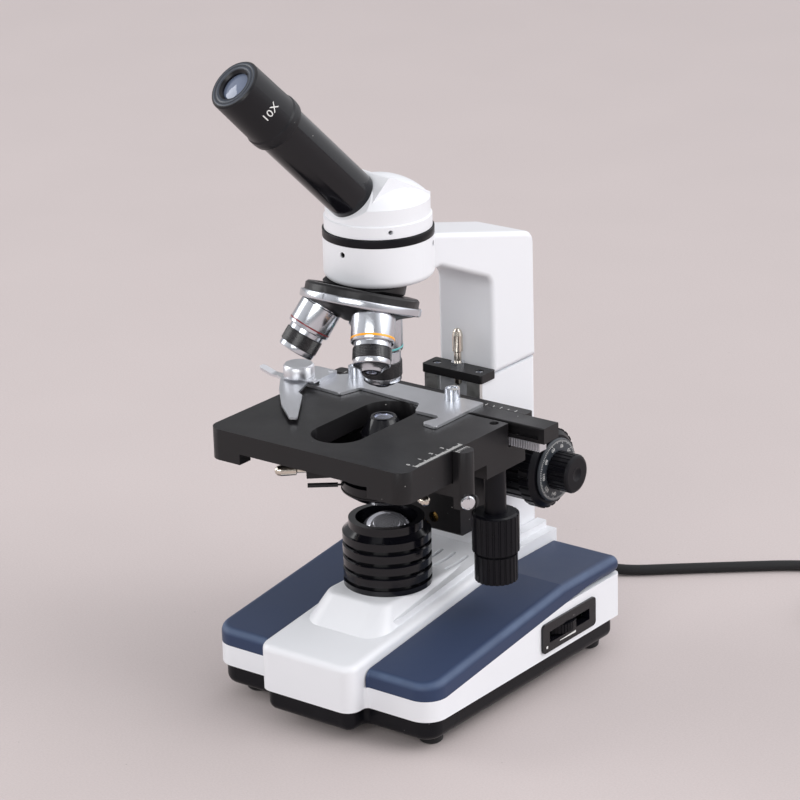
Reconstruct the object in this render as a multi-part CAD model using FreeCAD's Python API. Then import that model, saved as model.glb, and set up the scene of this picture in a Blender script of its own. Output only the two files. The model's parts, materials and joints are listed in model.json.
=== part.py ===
import FreeCAD, Part
import math
import os

from FreeCAD import Placement, Rotation, Vector

# Monocular student microscope. Millimetres, +Z up, the user sits at -Y, +X is to the user's right.
# Every piece is first drawn about the optical axis (x = 0, y = 0, floor at z = 0). At the end all pieces
# are moved by AXIS_X and AXIS_Y, so that the origin is the bottom centre of the object's own box.

# ---- base -------------------------------------------------------------------------------------------
BASE_HALF_WIDTH = 77.3
BASE_FRONT = -64.2
BASE_REAR = 120.0
BASE_CORNER = 13.0
BASE_REAR_CORNER = 3.5
NOSE_FRONT = -78.1
NOSE_HALF_WIDTH = 32.65
NOSE_CORNER = 8.0
TRAY_BOTTOM = 7.0
TRAY_TOP = 20.0
TRAY_INSET = 2.5
TRAY_EDGE = 5.0
BEND_Y = 64.0
SEAM_FRONT, SEAM_REAR = 30.5, 46.5
SEAM_LEVEL_Y = -50.0
PANEL_FRONT, PANEL_REAR = 42.0, 57.5
NOSE_LOW, NOSE_HIGH = 48.5, 64.0
PANEL_INNER = 33.4
RIDGE_HALF_WIDTH = 27.0
RIDGE_RISE = 4.0
DECK_TOP = 65.5
DECK_HALF_WIDTH, DECK_FOOT_HALF_WIDTH = 21.5, 28.0
DECK_FRONT_Y, DECK_FOOT_Y = -32.5, -47.0
DECK_FOOT_Z = 50.0
DECK_ROUND = 3.0
WALL = 2.5
FOOT_X = 61.4
FOOT_FRONT_Y, FOOT_REAR_Y = -44.0, 109.4
FOOT_RADIUS = 6.5

# ---- illuminator on the optical axis ----------------------------------------------------------------
LAMP_RIM_TOP = 104.4
LAMP_RIM_RADIUS = 21.5
LAMP_RIB_RADIUS = 25.1
LAMP_RIB_PITCH = 7.2
LAMP_BORE = 17.5
FIELD_LENS_RADIUS = 17.2

# ---- dimmer in the right side wall ------------------------------------------------------------------
DIMMER_Y = 66.0
DIMMER_Z = 32.6
DIMMER_WHEEL_RADIUS = 13.0
DIMMER_WHEEL_X = 67.5

# ---- arm --------------------------------------------------------------------------------------------
ARM_HALF_WIDTH = 19.5
ARM_FRONT = 78.0
ARM_REAR = 120.0
GUIDE_FRONT = 64.0
ARM_SEAM = 169.0
GUIDE_TOP = 167.5
SLIDE_HALF_WIDTH = 10.0
SLIDE_DEPTH_Y = 80.0
LIMIT_STEM = 2.1
HEAD_SEAT_RADIUS = 30.5
HEAD_SEAT_BOTTOM = 246.4
HEAD_SEAT_ROUND = 4.0
HEAD_SEAT_TOP = 269.7

# ---- monocular head ---------------------------------------------------------------------------------
COLLAR_TOP = 274.5
COLLAR_RADIUS = 30.6
NECK_RADIUS = 21.0
HEAD_RADIUS = 28.7
HEAD_SWIVEL_DEG = 14.0
TUBE_TILT_DEG = 45.0
TUBE_CROSSING = 276.8
TUBE_RADIUS = 14.0
TUBE_FACE = 24.9
TUBE_END = 92.0
EYE_END = 130.0
EYE_RADIUS = 15.6
EYE_RIM_STEP = 1.6

# ---- nosepiece --------------------------------------------------------------------------------------
APEX_Z = 282.4
TURRET_TILT_DEG = 20.0
TURRET_TOP = 43.6
TURRET_RING_TOP = 48.2
TURRET_RING_BOTTOM = 52.7
TURRET_RADIUS = 31.5
TURRET_RING_RADIUS = 33.5
OBJECTIVE_SEAT = 60.3
OBJECTIVE_RADIUS = 11.9

# ---- focusing stage ---------------------------------------------------------------------------------
STAGE_TOP = 165.9
STAGE_HALF_WIDTH = 67.7
STAGE_FRONT = -71.3
STAGE_BAR_FRONT = 24.0
STAGE_REAR = 48.0
STAGE_THICK = 11.7
SKIRT_BOTTOM = 147.9
BRACKET_LOW, BRACKET_TOP = 139.0, 147.5
SLOT_RADIUS = 15.7
SLOT_FRONT, SLOT_REAR = -55.0, 20.0
CARRIAGE_HALF_WIDTH = 22.0
CARRIAGE_FRONT = 40.0
CARRIAGE_BOTTOM = 83.0
BAR_END_X = 90.0
TAIL_TIP_X = -97.0
BAR_FRONT, BAR_REAR = 26.2, 40.0
BAR_TOP = 166.2
HOLDER_THICK = 1.6
FINGER_X, FINGER_Y = -70.0, 12.6
XY_X, XY_Y = 61.0, 20.0
CONDENSER_RADIUS = 18.5
HOLDER_RING_RADIUS = 26.0
HOLDER_BOTTOM = 131.0
LUG_REACH = 44.0
CLAMP_SCREWS_DEG = (-139.0, -31.0)

# ---- focus drive in the arm -------------------------------------------------------------------------
FOCUS_Y, FOCUS_Z = 84.0, 117.5
PINION_RADIUS = 6.0
COARSE_RADIUS = 23.3
FINE_RADIUS = 11.3
FINE_FACE_X = 72.0

# ---- power cord -------------------------------------------------------------------------------------
CORD_DIAMETER = 6.5
CORD_FLOOR = CORD_DIAMETER / 2 + 0.05
GLAND_X, GLAND_Z = -34.0, 29.0
GLAND_LENGTH = 30.0
COIL_X, COIL_Y = 192.0, 243.0
COIL_MEAN_RADIUS = 36.0
COIL_ENTRY_DEG = 70.0

RUNNING_FIT = 0.05
PRESS_GAP = 0.02
UP = Vector(0, 0, 1)
RIGHT = Vector(1, 0, 0)
BACK = Vector(0, 1, 0)


# ---- small drawing tools ----------------------------------------------------------------------------
def box(x, y, z):
    return Part.makeBox(x[1] - x[0], y[1] - y[0], z[1] - z[0], Vector(x[0], y[0], z[0]))


def rod(radius, start, axis, length):
    return Part.makeCylinder(radius, length, start, axis)


def tube(outer, inner, start, axis, length):
    return rod(outer, start, axis, length).cut(rod(inner, start, axis, length))


def turned(profile, start=Vector(0, 0, 0), axis=UP):
    """A body of revolution: profile is a closed list of (radius, height) along axis from start."""
    points = [Vector(radius, 0, height) for radius, height in profile]
    face = Part.Face(Part.makePolygon(points + points[:1]))
    body = face.revolve(Vector(0, 0, 0), UP, 360)
    body.Placement = Placement(start, Rotation(UP, axis))
    return Part.Solid(Part.Shell(body.Faces)) if body.ShapeType != "Solid" else body


def rounded_face(corners):
    """A flat face from (x, y, radius) corners, each rounded by its own radius."""
    edges = []
    ends = []
    count = len(corners)
    for i in range(count):
        here = Vector(corners[i][0], corners[i][1], 0)
        back = (Vector(corners[i - 1][0], corners[i - 1][1], 0) - here).normalize()
        ahead_corner = corners[(i + 1) % count]
        ahead = (Vector(ahead_corner[0], ahead_corner[1], 0) - here).normalize()
        radius = corners[i][2]
        if radius == 0:
            ends.append((here, here, None))
            continue
        half = back.getAngle(ahead) / 2
        reach = radius / math.tan(half)
        middle = here + (back + ahead).normalize() * (radius / math.sin(half) - radius)
        ends.append((here + back * reach, here + ahead * reach, middle))
    for i in range(count):
        first, last, middle = ends[i]
        if middle is not None:
            edges.append(Part.Arc(first, middle, last).toShape())
        following = ends[(i + 1) % count][0]
        if last.distanceToPoint(following) > 1e-6:
            edges.append(Part.LineSegment(last, following).toShape())
    return Part.Face(Part.Wire(edges))


def slab(corners, low, high):
    """A plate with a rounded outline in plan, from height low to height high."""
    face = rounded_face(corners)
    face.translate(Vector(0, 0, low))
    return face.extrude(Vector(0, 0, high - low))


def side_profile(corners, x):
    """A solid with an outline given as (y, z, radius) seen from the side, from x[0] to x[1]."""
    solid = rounded_face(corners).extrude(Vector(0, 0, x[1] - x[0]))
    turn = Rotation(Vector(0, 1, 0), Vector(0, 0, 1), Vector(1, 0, 0), "ZXY")
    solid.Placement = Placement(Vector(x[0], 0, 0), turn)
    return solid


def front_profile(corners, y):
    """A solid with an outline given as (x, z, radius) seen from the front, from y[0] to y[1]."""
    solid = rounded_face(corners).extrude(Vector(0, 0, y[0] - y[1]))
    solid.Placement = Placement(Vector(0, y[0], 0), Rotation(RIGHT, 90))
    return solid


def fused(shapes):
    return shapes[0].multiFuse(shapes[1:]).removeSplitter()


def group(shapes):
    return Part.makeCompound(shapes)


def mirrored(shape):
    return shape.mirror(Vector(0, 0, 0), RIGHT)


def filleted(solid, radius, chosen):
    """Rounds the edges for which chosen(edge's box) is true."""
    edges = [edge for edge in solid.Edges if chosen(edge.BoundBox)]
    return solid.makeFillet(radius, edges)


def fluted(outer, depth, count, start, axis, length):
    """A knurled knob body: a rod with count round grooves along its rim."""
    groove = math.pi * outer / count * 0.42
    cutters = []
    for i in range(count):
        turn = 2 * math.pi * i / count
        reach = outer - depth + groove
        centre = Vector(reach * math.cos(turn), reach * math.sin(turn), 0)
        cutters.append(Part.makeCylinder(groove, length, centre))
    body = Part.makeCylinder(outer, length).cut(cutters)
    body.Placement = Placement(start, Rotation(UP, axis))
    return body


def hex_nut(across, bore, start, height):
    corners = []
    for i in range(6):
        turn = math.radians(60 * i)
        corners.append((start.x + across / math.sqrt(3) * math.cos(turn),
                        start.y + across / math.sqrt(3) * math.sin(turn), 0))
    return slab(corners, start.z, start.z + height).cut(rod(bore, start, UP, height))


# ---- base -------------------------------------------------------------------------------------------
def base_outline(inset):
    wide = BASE_HALF_WIDTH - inset
    nose = NOSE_HALF_WIDTH - inset
    front = BASE_FRONT + inset
    tip = NOSE_FRONT + inset
    rear = BASE_REAR - inset
    back_corner = max(BASE_REAR_CORNER - inset, 1.0)
    return [(-wide, rear, back_corner), (-wide, front, BASE_CORNER - inset),
            (-nose, front, 3.0), (-nose, tip, NOSE_CORNER - inset),
            (nose, tip, NOSE_CORNER - inset), (nose, front, 3.0),
            (wide, front, BASE_CORNER - inset), (wide, rear, back_corner)]


def under(front_z, rear_z, half_width, drop=0.0, start_y=BASE_FRONT - 20, level_y=None):
    """The space below a top that rises straight to the bend and then runs level to the rear."""
    slope = (rear_z - front_z) / (BEND_Y - BASE_FRONT)
    rise_y = start_y if level_y is None else level_y
    start_z = front_z + slope * (rise_y - BASE_FRONT)
    outline = [(start_y, 0, 0), (start_y, start_z - drop, 0)]
    if level_y is not None:
        outline.append((level_y, start_z - drop, 0))
    outline += [(BEND_Y, rear_z - drop, 0), (BASE_REAR + 1, rear_z - drop, 0), (BASE_REAR + 1, 0, 0)]
    return side_profile(outline, (-half_width, half_width))


def below_seam(half_width, drop=0.0):
    """The white part of the base's flanks, below the coloured covers."""
    return under(SEAM_FRONT, SEAM_REAR, half_width, drop=drop, level_y=SEAM_LEVEL_Y)


def deck_outline(half_width, front, corner, z):
    rear = BASE_REAR - 2
    face = rounded_face([(-half_width, rear, 1.0), (-half_width, front, corner),
                         (half_width, front, corner), (half_width, rear, 1.0)])
    face.translate(Vector(0, 0, z))
    return face.OuterWire


def deck_reach(top_reach, foot_reach, z):
    """How far one side of the deck reaches at height z: drafted below, rounded into the top."""
    slope = (foot_reach - top_reach) / (DECK_TOP - DECK_FOOT_Z)
    lean = math.hypot(1, slope)
    round_foot = DECK_TOP - DECK_ROUND
    if z <= round_foot + DECK_ROUND * slope / lean:
        return top_reach + slope * (DECK_TOP - z)
    centre = top_reach + slope * DECK_ROUND - DECK_ROUND * lean
    return centre + math.sqrt(DECK_ROUND ** 2 - (z - round_foot) ** 2)


def deck():
    """Drafted pedestal with soft corners and a rounded top edge; it carries the illuminator."""
    sections = []
    for drop in (DECK_TOP - DECK_FOOT_Z, 6.0, 3.0, 2.1, 1.5, 1.0, 0.6, 0.25, 0.0):
        z = DECK_TOP - drop
        wide = deck_reach(DECK_HALF_WIDTH, DECK_FOOT_HALF_WIDTH, z)
        front = -deck_reach(-DECK_FRONT_Y, -DECK_FOOT_Y, z)
        sections.append(deck_outline(wide, front, 9.0 + 0.26 * drop, z))
    return Part.makeLoft(sections, True, True)


def base_housing():
    body = slab(base_outline(0.0), TRAY_TOP, 90.0)
    nose = under(NOSE_LOW, NOSE_HIGH, NOSE_HALF_WIDTH)
    nose = nose.common(slab(base_outline(0.0), TRAY_TOP, 90.0))
    nose = filleted(nose, 4.0, lambda b: b.ZMin > 44 and b.YMin < BEND_Y - 5 and b.YMax < BEND_Y + 1
                    and b.ZMin > NOSE_LOW - 4 and b.XLength < 70 and not (b.ZLength > 15 and b.YLength < 10))
    sides = body.common(below_seam(BASE_HALF_WIDTH + 1))
    ridge = under(NOSE_LOW + RIDGE_RISE, NOSE_HIGH + RIDGE_RISE, RIDGE_HALF_WIDTH, start_y=-35.0)
    ridge_plan = slab([(-RIDGE_HALF_WIDTH, BASE_REAR - 1, 2), (-RIDGE_HALF_WIDTH, -35, 12),
                       (RIDGE_HALF_WIDTH, -35, 12), (RIDGE_HALF_WIDTH, BASE_REAR - 1, 2)], 45, 90)
    ridge = ridge.common(ridge_plan)
    outer = fused([sides, nose, ridge, deck()])
    inner = slab(base_outline(WALL), TRAY_TOP, 90.0)
    low_hollow = inner.common(below_seam(BASE_HALF_WIDTH, drop=WALL))
    high_hollow = inner.common(under(NOSE_LOW, NOSE_HIGH, PANEL_INNER - 2 * WALL, drop=2 * WALL))
    shell = outer.cut([low_hollow, high_hollow])
    foot = ARM_HALF_WIDTH + 0.3
    arm_socket = box((-foot, foot), (GUIDE_FRONT - 0.2, BASE_REAR + 5), (NOSE_HIGH - 3, 100))
    lamp_hole = rod(LAMP_BORE - 1, Vector(0, 0, 40), UP, 40)
    dimmer_hole = box((BASE_HALF_WIDTH - 10, BASE_HALF_WIDTH + 5), (DIMMER_Y - 24, DIMMER_Y + 24),
                      (DIMMER_Z - 5.2, DIMMER_Z + 5.2))
    gland_hole = rod(4.6, Vector(GLAND_X, BASE_REAR - 10, GLAND_Z), BACK, 20)
    return shell.cut([arm_socket, lamp_hole, dimmer_hole, gland_hole] + vent_slots())


def vent_slots():
    """Rows of narrow cooling slots between the illuminator and the arm."""
    slots = []
    for x in (-18.0, -9.0, 0.0, 9.0, 18.0):
        outline = [(x - 1.3, 30.0, 1.25), (x - 1.3, 52.0, 1.25), (x + 1.3, 52.0, 1.25), (x + 1.3, 30.0, 1.25)]
        slots.append(slab(outline, 55.0, 75.0))
    return slots


def side_panel():
    """The coloured right cover: a soft-edged shell over the sloping side of the base."""
    outline = slab(base_outline(0.0), 0.0, 90.0)
    right = box((PANEL_INNER, 100), (-100, 200), (0, 90))
    body = outline.common(right).common(under(PANEL_FRONT, PANEL_REAR, 100))
    body = body.cut(below_seam(100))
    body = filleted(body, 5.0, lambda b: on_panel_rim(b))
    hollow = slab(base_outline(WALL + 0.5), 0.0, 90.0)
    hollow = hollow.common(box((PANEL_INNER + WALL, 100), (-100, 200), (0, 90)))
    hollow = hollow.common(under(PANEL_FRONT, PANEL_REAR, 100, drop=WALL + 0.5))
    hollow = hollow.cut(below_seam(100, drop=-0.01))
    return body.cut(hollow)


def on_panel_rim(b):
    """True for the outer edges of the cover's top and for its upright rear corner."""
    top = b.ZMin > PANEL_FRONT - 3 and b.XMax > PANEL_INNER + 1
    across_bend = b.YMin > BEND_Y - 1 and b.YMax < BEND_Y + 1
    upright = b.ZLength > 5 and b.YLength < 5
    return top and not across_bend and not upright


def tray_outline(inset):
    wide = BASE_HALF_WIDTH - inset
    nose = NOSE_HALF_WIDTH - inset
    front = BASE_FRONT + inset
    tip = NOSE_FRONT + inset
    rear = BASE_REAR - inset
    return [(-wide, rear, TRAY_EDGE + 1), (-wide, front, BASE_CORNER - inset), (-nose, front, 3.0),
            (-nose, tip, TRAY_EDGE + 1), (nose, tip, TRAY_EDGE + 1), (nose, front, 3.0),
            (wide, front, BASE_CORNER - inset), (wide, rear, TRAY_EDGE + 1)]


def bottom_tray():
    """Black pan that closes the base from below, rounded along its lower edge."""
    body = slab(tray_outline(TRAY_INSET), TRAY_BOTTOM, TRAY_TOP)
    body = filleted(body, TRAY_EDGE, lambda b: b.ZMax < TRAY_BOTTOM + 0.01)
    pocket = slab(base_outline(TRAY_INSET + 4), TRAY_BOTTOM + 2.5, TRAY_TOP + 1)
    bosses = [rod(7.0, Vector(x, y, TRAY_BOTTOM), UP, TRAY_TOP - TRAY_BOTTOM) for x, y in foot_places()]
    holes = [rod(2.2, Vector(x, y, 0), UP, 30) for x, y in foot_places()]
    return fused([body.cut(pocket)] + bosses).cut(holes)


def foot_places():
    return [(side * FOOT_X, y) for side in (-1, 1) for y in (FOOT_FRONT_Y, FOOT_REAR_Y)]


def rubber_feet():
    feet = []
    for x, y in foot_places():
        foot = turned([(2.3, 0), (FOOT_RADIUS - 1, 0), (FOOT_RADIUS, 1.0), (FOOT_RADIUS + 0.8, TRAY_BOTTOM),
                       (2.3, TRAY_BOTTOM)], Vector(x, y, 0))
        well = rod(4.4, Vector(x, y, 0), UP, 4.0)
        feet.append(foot.cut(well))
    return group(feet)


def foot_screws():
    screws = []
    for x, y in foot_places():
        head = rod(3.6, Vector(x, y, 1.6), UP, 2.4)
        shank = rod(2.15, Vector(x, y, 4.0), UP, 14.0)
        slot = box((x - 4, x + 4), (y - 0.5, y + 0.5), (1.0, 2.4))
        screws.append(fused([head, shank]).cut(slot))
    return group(screws)


def lamp_housing():
    rib_low = DECK_TOP
    profile = [(LAMP_BORE, rib_low), (LAMP_RIB_RADIUS, rib_low), (LAMP_RIB_RADIUS, rib_low + 3.0)]
    height = rib_low + 3.0
    for i in range(4):
        profile += [(LAMP_RIB_RADIUS - 3.2, height), (LAMP_RIB_RADIUS - 3.2, height + 1.7)]
        profile += [(LAMP_RIB_RADIUS, height + 2.2), (LAMP_RIB_RADIUS, height + LAMP_RIB_PITCH - 0.6)]
        height += LAMP_RIB_PITCH
        profile.append((LAMP_RIB_RADIUS - 0.8, height))
    profile += [(LAMP_RIM_RADIUS, height + 2.5), (LAMP_RIM_RADIUS, LAMP_RIM_TOP),
                (LAMP_BORE, LAMP_RIM_TOP)]
    return turned(profile)


def collector_lens():
    """High domed field lens on a flat foot, its crown just over the rim of the illuminator."""
    edge = LAMP_BORE - RUNNING_FIT
    centre = LAMP_RIM_TOP + 1.7 - FIELD_LENS_RADIUS
    foot = rod(edge, Vector(0, 0, centre - 1.2), UP, 2.4)
    dome = Part.makeSphere(FIELD_LENS_RADIUS, Vector(0, 0, centre))
    above = rod(edge, Vector(0, 0, centre), UP, 2 * FIELD_LENS_RADIUS)
    return fused([foot, dome.common(above)])


def lamp():
    socket = fused([box((-14, 14), (-10, 10), (46, 50)), rod(9, Vector(0, 0, 50), UP, 12)])
    bulb = turned([(0, 62), (5, 62), (5, 71), (3.5, 74.5), (0, 76)])
    return fused([socket, bulb])


def power_board():
    board = box((-26, 26), (40, 112), (26, 27.6))
    parts = [board, box((-22, 4), (48, 74), (27.6, 46)), rod(5, Vector(15, 100, 27.6), UP, 14),
             rod(5, Vector(15, 86, 27.6), UP, 14), box((-20, -8), (84, 104), (27.6, 36))]
    posts = [rod(3, Vector(x, y, TRAY_BOTTOM + 2.5), UP, 26 - TRAY_BOTTOM - 2.5)
             for x in (-22, 22) for y in (44, 108)]
    return fused(parts + posts)


def dimmer_bezel():
    half_length, half_height = 26.5, 8.8
    outline = [(-half_length, -half_height, 2.5), (-half_length, half_height, 2.5),
               (half_length, half_height, 2.5), (half_length, -half_height, 2.5)]
    frame = [(DIMMER_Y + y, DIMMER_Z + z, r) for y, z, r in outline]
    plate = side_profile(frame, (BASE_HALF_WIDTH, BASE_HALF_WIDTH + 1.4))
    collar = box((BASE_HALF_WIDTH - 4, BASE_HALF_WIDTH), (DIMMER_Y - 23.8, DIMMER_Y + 23.8),
                 (DIMMER_Z - 5.0, DIMMER_Z + 5.0))
    window = box((BASE_HALF_WIDTH - 10, BASE_HALF_WIDTH + 5), (DIMMER_Y - 20, DIMMER_Y + 20),
                 (DIMMER_Z - 3.4, DIMMER_Z + 3.4))
    return fused([plate, collar]).cut(window)


def dimmer_wheel():
    start = Vector(DIMMER_WHEEL_X, DIMMER_Y, DIMMER_Z - 2.6)
    wheel = fluted(DIMMER_WHEEL_RADIUS, 0.8, 40, start, UP, 5.2)
    return wheel.cut(rod(2.0 + RUNNING_FIT, start, UP, 5.2))


def dimmer_control():
    """Potentiometer under the dimmer wheel, with the pin the wheel turns on."""
    can = rod(5.5, Vector(DIMMER_WHEEL_X, DIMMER_Y, DIMMER_Z - 11), UP, 8.0)
    pin = rod(2.0, Vector(DIMMER_WHEEL_X, DIMMER_Y, DIMMER_Z - 3.0), UP, 6.2)
    foot = box((DIMMER_WHEEL_X - 7, DIMMER_WHEEL_X + 2), (DIMMER_Y - 4, DIMMER_Y + 4), (TRAY_BOTTOM + 2.5, 22))
    return fused([can, pin, foot])


# ---- arm --------------------------------------------------------------------------------------------
def lower_arm():
    half = ARM_HALF_WIDTH
    outline = [(-half, GUIDE_FRONT, 0.6), (half, GUIDE_FRONT, 0.6), (half, ARM_REAR - 0.5, 4.0),
               (-half, ARM_REAR - 0.5, 4.0)]
    column = slab(outline, NOSE_HIGH - 2.8, ARM_SEAM - 0.3)
    notch = box((-30, 30), (0, ARM_FRONT - 0.5), (GUIDE_TOP, ARM_SEAM + 1))
    channel = box((-SLIDE_HALF_WIDTH, SLIDE_HALF_WIDTH), (0, SLIDE_DEPTH_Y), (86, ARM_SEAM + 1))
    shaft_bore = rod(4.5 + RUNNING_FIT, Vector(-30, FOCUS_Y, FOCUS_Z), RIGHT, 60)
    pinion_room = rod(7.5, Vector(-SLIDE_HALF_WIDTH, FOCUS_Y, FOCUS_Z), RIGHT, 2 * SLIDE_HALF_WIDTH)
    rear_hollow = box((-13, 13), (98, 113), (NOSE_HIGH + 3, ARM_SEAM - 8))
    rail_seats = [box((SLIDE_HALF_WIDTH, 30), (0, GUIDE_FRONT + 2.5), (88, ARM_SEAM)),
                  box((-30, -SLIDE_HALF_WIDTH), (0, GUIDE_FRONT + 2.5), (88, ARM_SEAM))]
    screw_holes = [rod(1.5, Vector(x, 70.3, GUIDE_TOP - 8.5), UP, 12) for x in (-14.8, 14.8)]
    return column.cut([notch, channel, shaft_bore, pinion_room, rear_hollow] + rail_seats + screw_holes)


def guide_rails():
    """Two bare metal strips that guide the focusing slide."""
    rail = box((SLIDE_HALF_WIDTH + 0.4, ARM_HALF_WIDTH), (GUIDE_FRONT, GUIDE_FRONT + 2.5), (88, GUIDE_TOP))
    return group([rail, mirrored(rail)])


def upper_arm():
    side = [(ARM_FRONT, ARM_SEAM, 0), (ARM_REAR, ARM_SEAM, 0), (ARM_REAR - 0.5, 243.5, 8.0),
            (30.0, 265.0, 0), (0.0, HEAD_SEAT_TOP - 1.5, 0), (0.0, 244.5, 0), (31.0, 245.5, 3.0),
            (ARM_FRONT, 226.0, 9.0)]
    neck = side_profile(side, (-ARM_HALF_WIDTH, ARM_HALF_WIDTH))
    long_edges = lambda b: abs(b.XMax) > ARM_HALF_WIDTH - 0.1 and b.XLength < 0.1 and b.YMin > 25
    neck = filleted(neck, 3.0, long_edges)
    neck = neck.cut(rod(HEAD_SEAT_RADIUS - 0.5, Vector(0, 0, 0), UP, HEAD_SEAT_BOTTOM + HEAD_SEAT_ROUND))
    seat = rod(HEAD_SEAT_RADIUS, Vector(0, 0, HEAD_SEAT_BOTTOM), UP, HEAD_SEAT_TOP - HEAD_SEAT_BOTTOM)
    seat = filleted(seat, HEAD_SEAT_ROUND, lambda b: b.ZMax < HEAD_SEAT_BOTTOM + 0.1)
    light_path = rod(12.0, Vector(0, 0, 200), UP, 100)
    dovetail = rod(NECK_RADIUS, Vector(0, 0, HEAD_SEAT_TOP - 8), UP, 20)
    body = fused([neck, seat]).cut([light_path, dovetail])
    pocket = side_profile([(86, ARM_SEAM - 1, 0), (113, ARM_SEAM - 1, 0), (113, 236, 3), (86, 242, 3)],
                          (-13, 13))
    return body.cut([pocket, grub_hole(-92, 264.8), grub_hole(23.5, 265.4)])


def grub_hole(azimuth_deg, z):
    """A small radial screw hole in the round seat of the head."""
    turn = math.radians(azimuth_deg)
    outward = Vector(math.cos(turn), math.sin(turn), 0)
    return rod(1.6, outward * 20 + UP * z, outward, 20)


def head_collar():
    return turned([(NECK_RADIUS, HEAD_SEAT_TOP), (COLLAR_RADIUS, HEAD_SEAT_TOP),
                   (COLLAR_RADIUS, COLLAR_TOP - 0.3), (NECK_RADIUS, COLLAR_TOP - 0.3)])


def limit_bar():
    outline = [(-21.0, 63.5, 1.5), (21.0, 63.5, 1.5), (21.0, 77.2, 1.0), (-21.0, 77.2, 1.0)]
    bar = slab(outline, GUIDE_TOP, GUIDE_TOP + 5.0)
    wells = [rod(2.6, Vector(x, 70.3, GUIDE_TOP + 2.5), UP, 5) for x in (-14.8, 14.8)]
    holes = [rod(1.5, Vector(x, 70.3, GUIDE_TOP - 1), UP, 8) for x in (-14.8, 14.8)]
    middle = rod(LIMIT_STEM + RUNNING_FIT, Vector(0, 70.0, GUIDE_TOP - 1), UP, 8)
    return bar.cut(wells + holes + [middle])


def limit_bar_fasteners():
    pieces = []
    for x in (-14.8, 14.8):
        head = rod(2.5, Vector(x, 70.3, GUIDE_TOP + 2.5), UP, 2.0)
        recess = hex_nut(2.4, 0.01, Vector(x, 70.3, GUIDE_TOP + 3.4), 2.0)
        pieces.append(fused([head.cut(recess), rod(1.45, Vector(x, 70.3, GUIDE_TOP - 8), UP, 10.5)]))
    pieces.append(hex_nut(7.4, LIMIT_STEM + RUNNING_FIT, Vector(0, 70.0, GUIDE_TOP + 5.0), 3.2))
    return group(pieces)


def limit_screw():
    """Bullet-headed stop screw for the top of the focusing travel."""
    foot = Vector(0, 70.0, 0)
    return turned([(0, 162.0), (LIMIT_STEM - 0.6, 162.0), (LIMIT_STEM, 162.8), (LIMIT_STEM, 181.5), (3.0, 182.2),
                   (3.0, 191.6), (2.4, 194.0), (1.3, 195.3), (0, 195.6)], foot)


def nosepiece_mount():
    """Tilted boss under the head seat that carries the turret."""
    boss = turned([(0, 28), (23.0, 28), (23.0, TURRET_TOP - 1.5), (22.0, TURRET_TOP - 0.3),
                   (0, TURRET_TOP - 0.3)], apex(), turret_axis())
    boss = boss.cut(box((-60, 60), (-60, 60), (HEAD_SEAT_BOTTOM, 320)))
    pivot = rod(5.0, along_turret(TURRET_TOP - 1), turret_axis(), 14)
    light_path = rod(8.0, Vector(0, 0, 200), UP, 60)
    return fused([boss, pivot]).cut(light_path)


# ---- monocular head ---------------------------------------------------------------------------------
def tube_plan():
    turn = math.radians(HEAD_SWIVEL_DEG)
    return Vector(-math.sin(turn), -math.cos(turn), 0)


def tube_axis():
    tilt = math.radians(TUBE_TILT_DEG)
    return tube_plan() * math.cos(tilt) + UP * math.sin(tilt)


def along_tube(distance):
    return Vector(0, 0, TUBE_CROSSING) + tube_axis() * distance


def prism_housing():
    barrel = turned([(0, COLLAR_TOP), (29.6, COLLAR_TOP), (29.6, COLLAR_TOP + 6.6), (HEAD_RADIUS, COLLAR_TOP + 7.2),
                     (HEAD_RADIUS, 290.2), (0, 290.2)])
    dome_centre = 264.0
    dome_radius = 38.7
    dome = Part.makeSphere(dome_radius, Vector(0, 0, dome_centre))
    dome = dome.common(rod(HEAD_RADIUS, Vector(0, 0, 285), UP, 40))
    half = 18.0
    roof = [(-40, COLLAR_TOP + 8, 0), (40, COLLAR_TOP + 8, 0), (40, 271.2, 0), (5.6, 305.6, 2.0), (-40, 284.3, 0)]
    roof = [(u, z, r) for u, z, r in roof if (u, z) != (40, 271.2)]
    roof.insert(2, (28.6, 282.6, 0))
    wedge = rounded_face(roof).extrude(Vector(0, 0, 2 * half))
    turn = Rotation(tube_plan(), UP, tube_plan().cross(UP), "XYZ")
    wedge.Placement = Placement(tube_plan().cross(UP) * -half, turn)
    wedge = wedge.common(rod(HEAD_RADIUS, Vector(0, 0, 200), UP, 200))
    slope_side = along_tube(TUBE_FACE)
    cutter = Part.makeCylinder(80, 80, slope_side, tube_axis())
    body = fused([barrel, dome, wedge]).cut(cutter)
    neck = rod(NECK_RADIUS - RUNNING_FIT, Vector(0, 0, HEAD_SEAT_TOP - 7.7), UP, COLLAR_TOP - HEAD_SEAT_TOP + 9)
    body = fused([body, neck])
    light_path = rod(11.0, Vector(0, 0, 200), UP, TUBE_CROSSING - 200)
    exit_path = rod(11.0, along_tube(-2), tube_axis(), 60)
    prism_seat = prism_block(0.2)
    spigot = rod(12.0 + PRESS_GAP, along_tube(TUBE_FACE - 6), tube_axis(), 20)
    return body.cut([light_path, exit_path, prism_seat, spigot, head_hole()])


def head_hole():
    turn = math.radians(-39)
    outward = Vector(math.cos(turn), math.sin(turn), 0)
    return rod(1.3, outward * 22 + UP * 278.2, outward, 12)


def prism_block(extra):
    """The 45 degree glass prism that turns the light into the tube."""
    half = 11.0 + extra
    corners = [(-12 - extra, 270 - extra, 0), (10 + extra, 270 - extra, 0), (15 + extra, 282, 0),
               (8, 292 + extra, 0), (-12 - extra, 280, 0)]
    block = rounded_face(corners).extrude(Vector(0, 0, 2 * half))
    turn = Rotation(tube_plan(), UP, tube_plan().cross(UP), "XYZ")
    block.Placement = Placement(tube_plan().cross(UP) * -half, turn)
    return block


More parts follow.
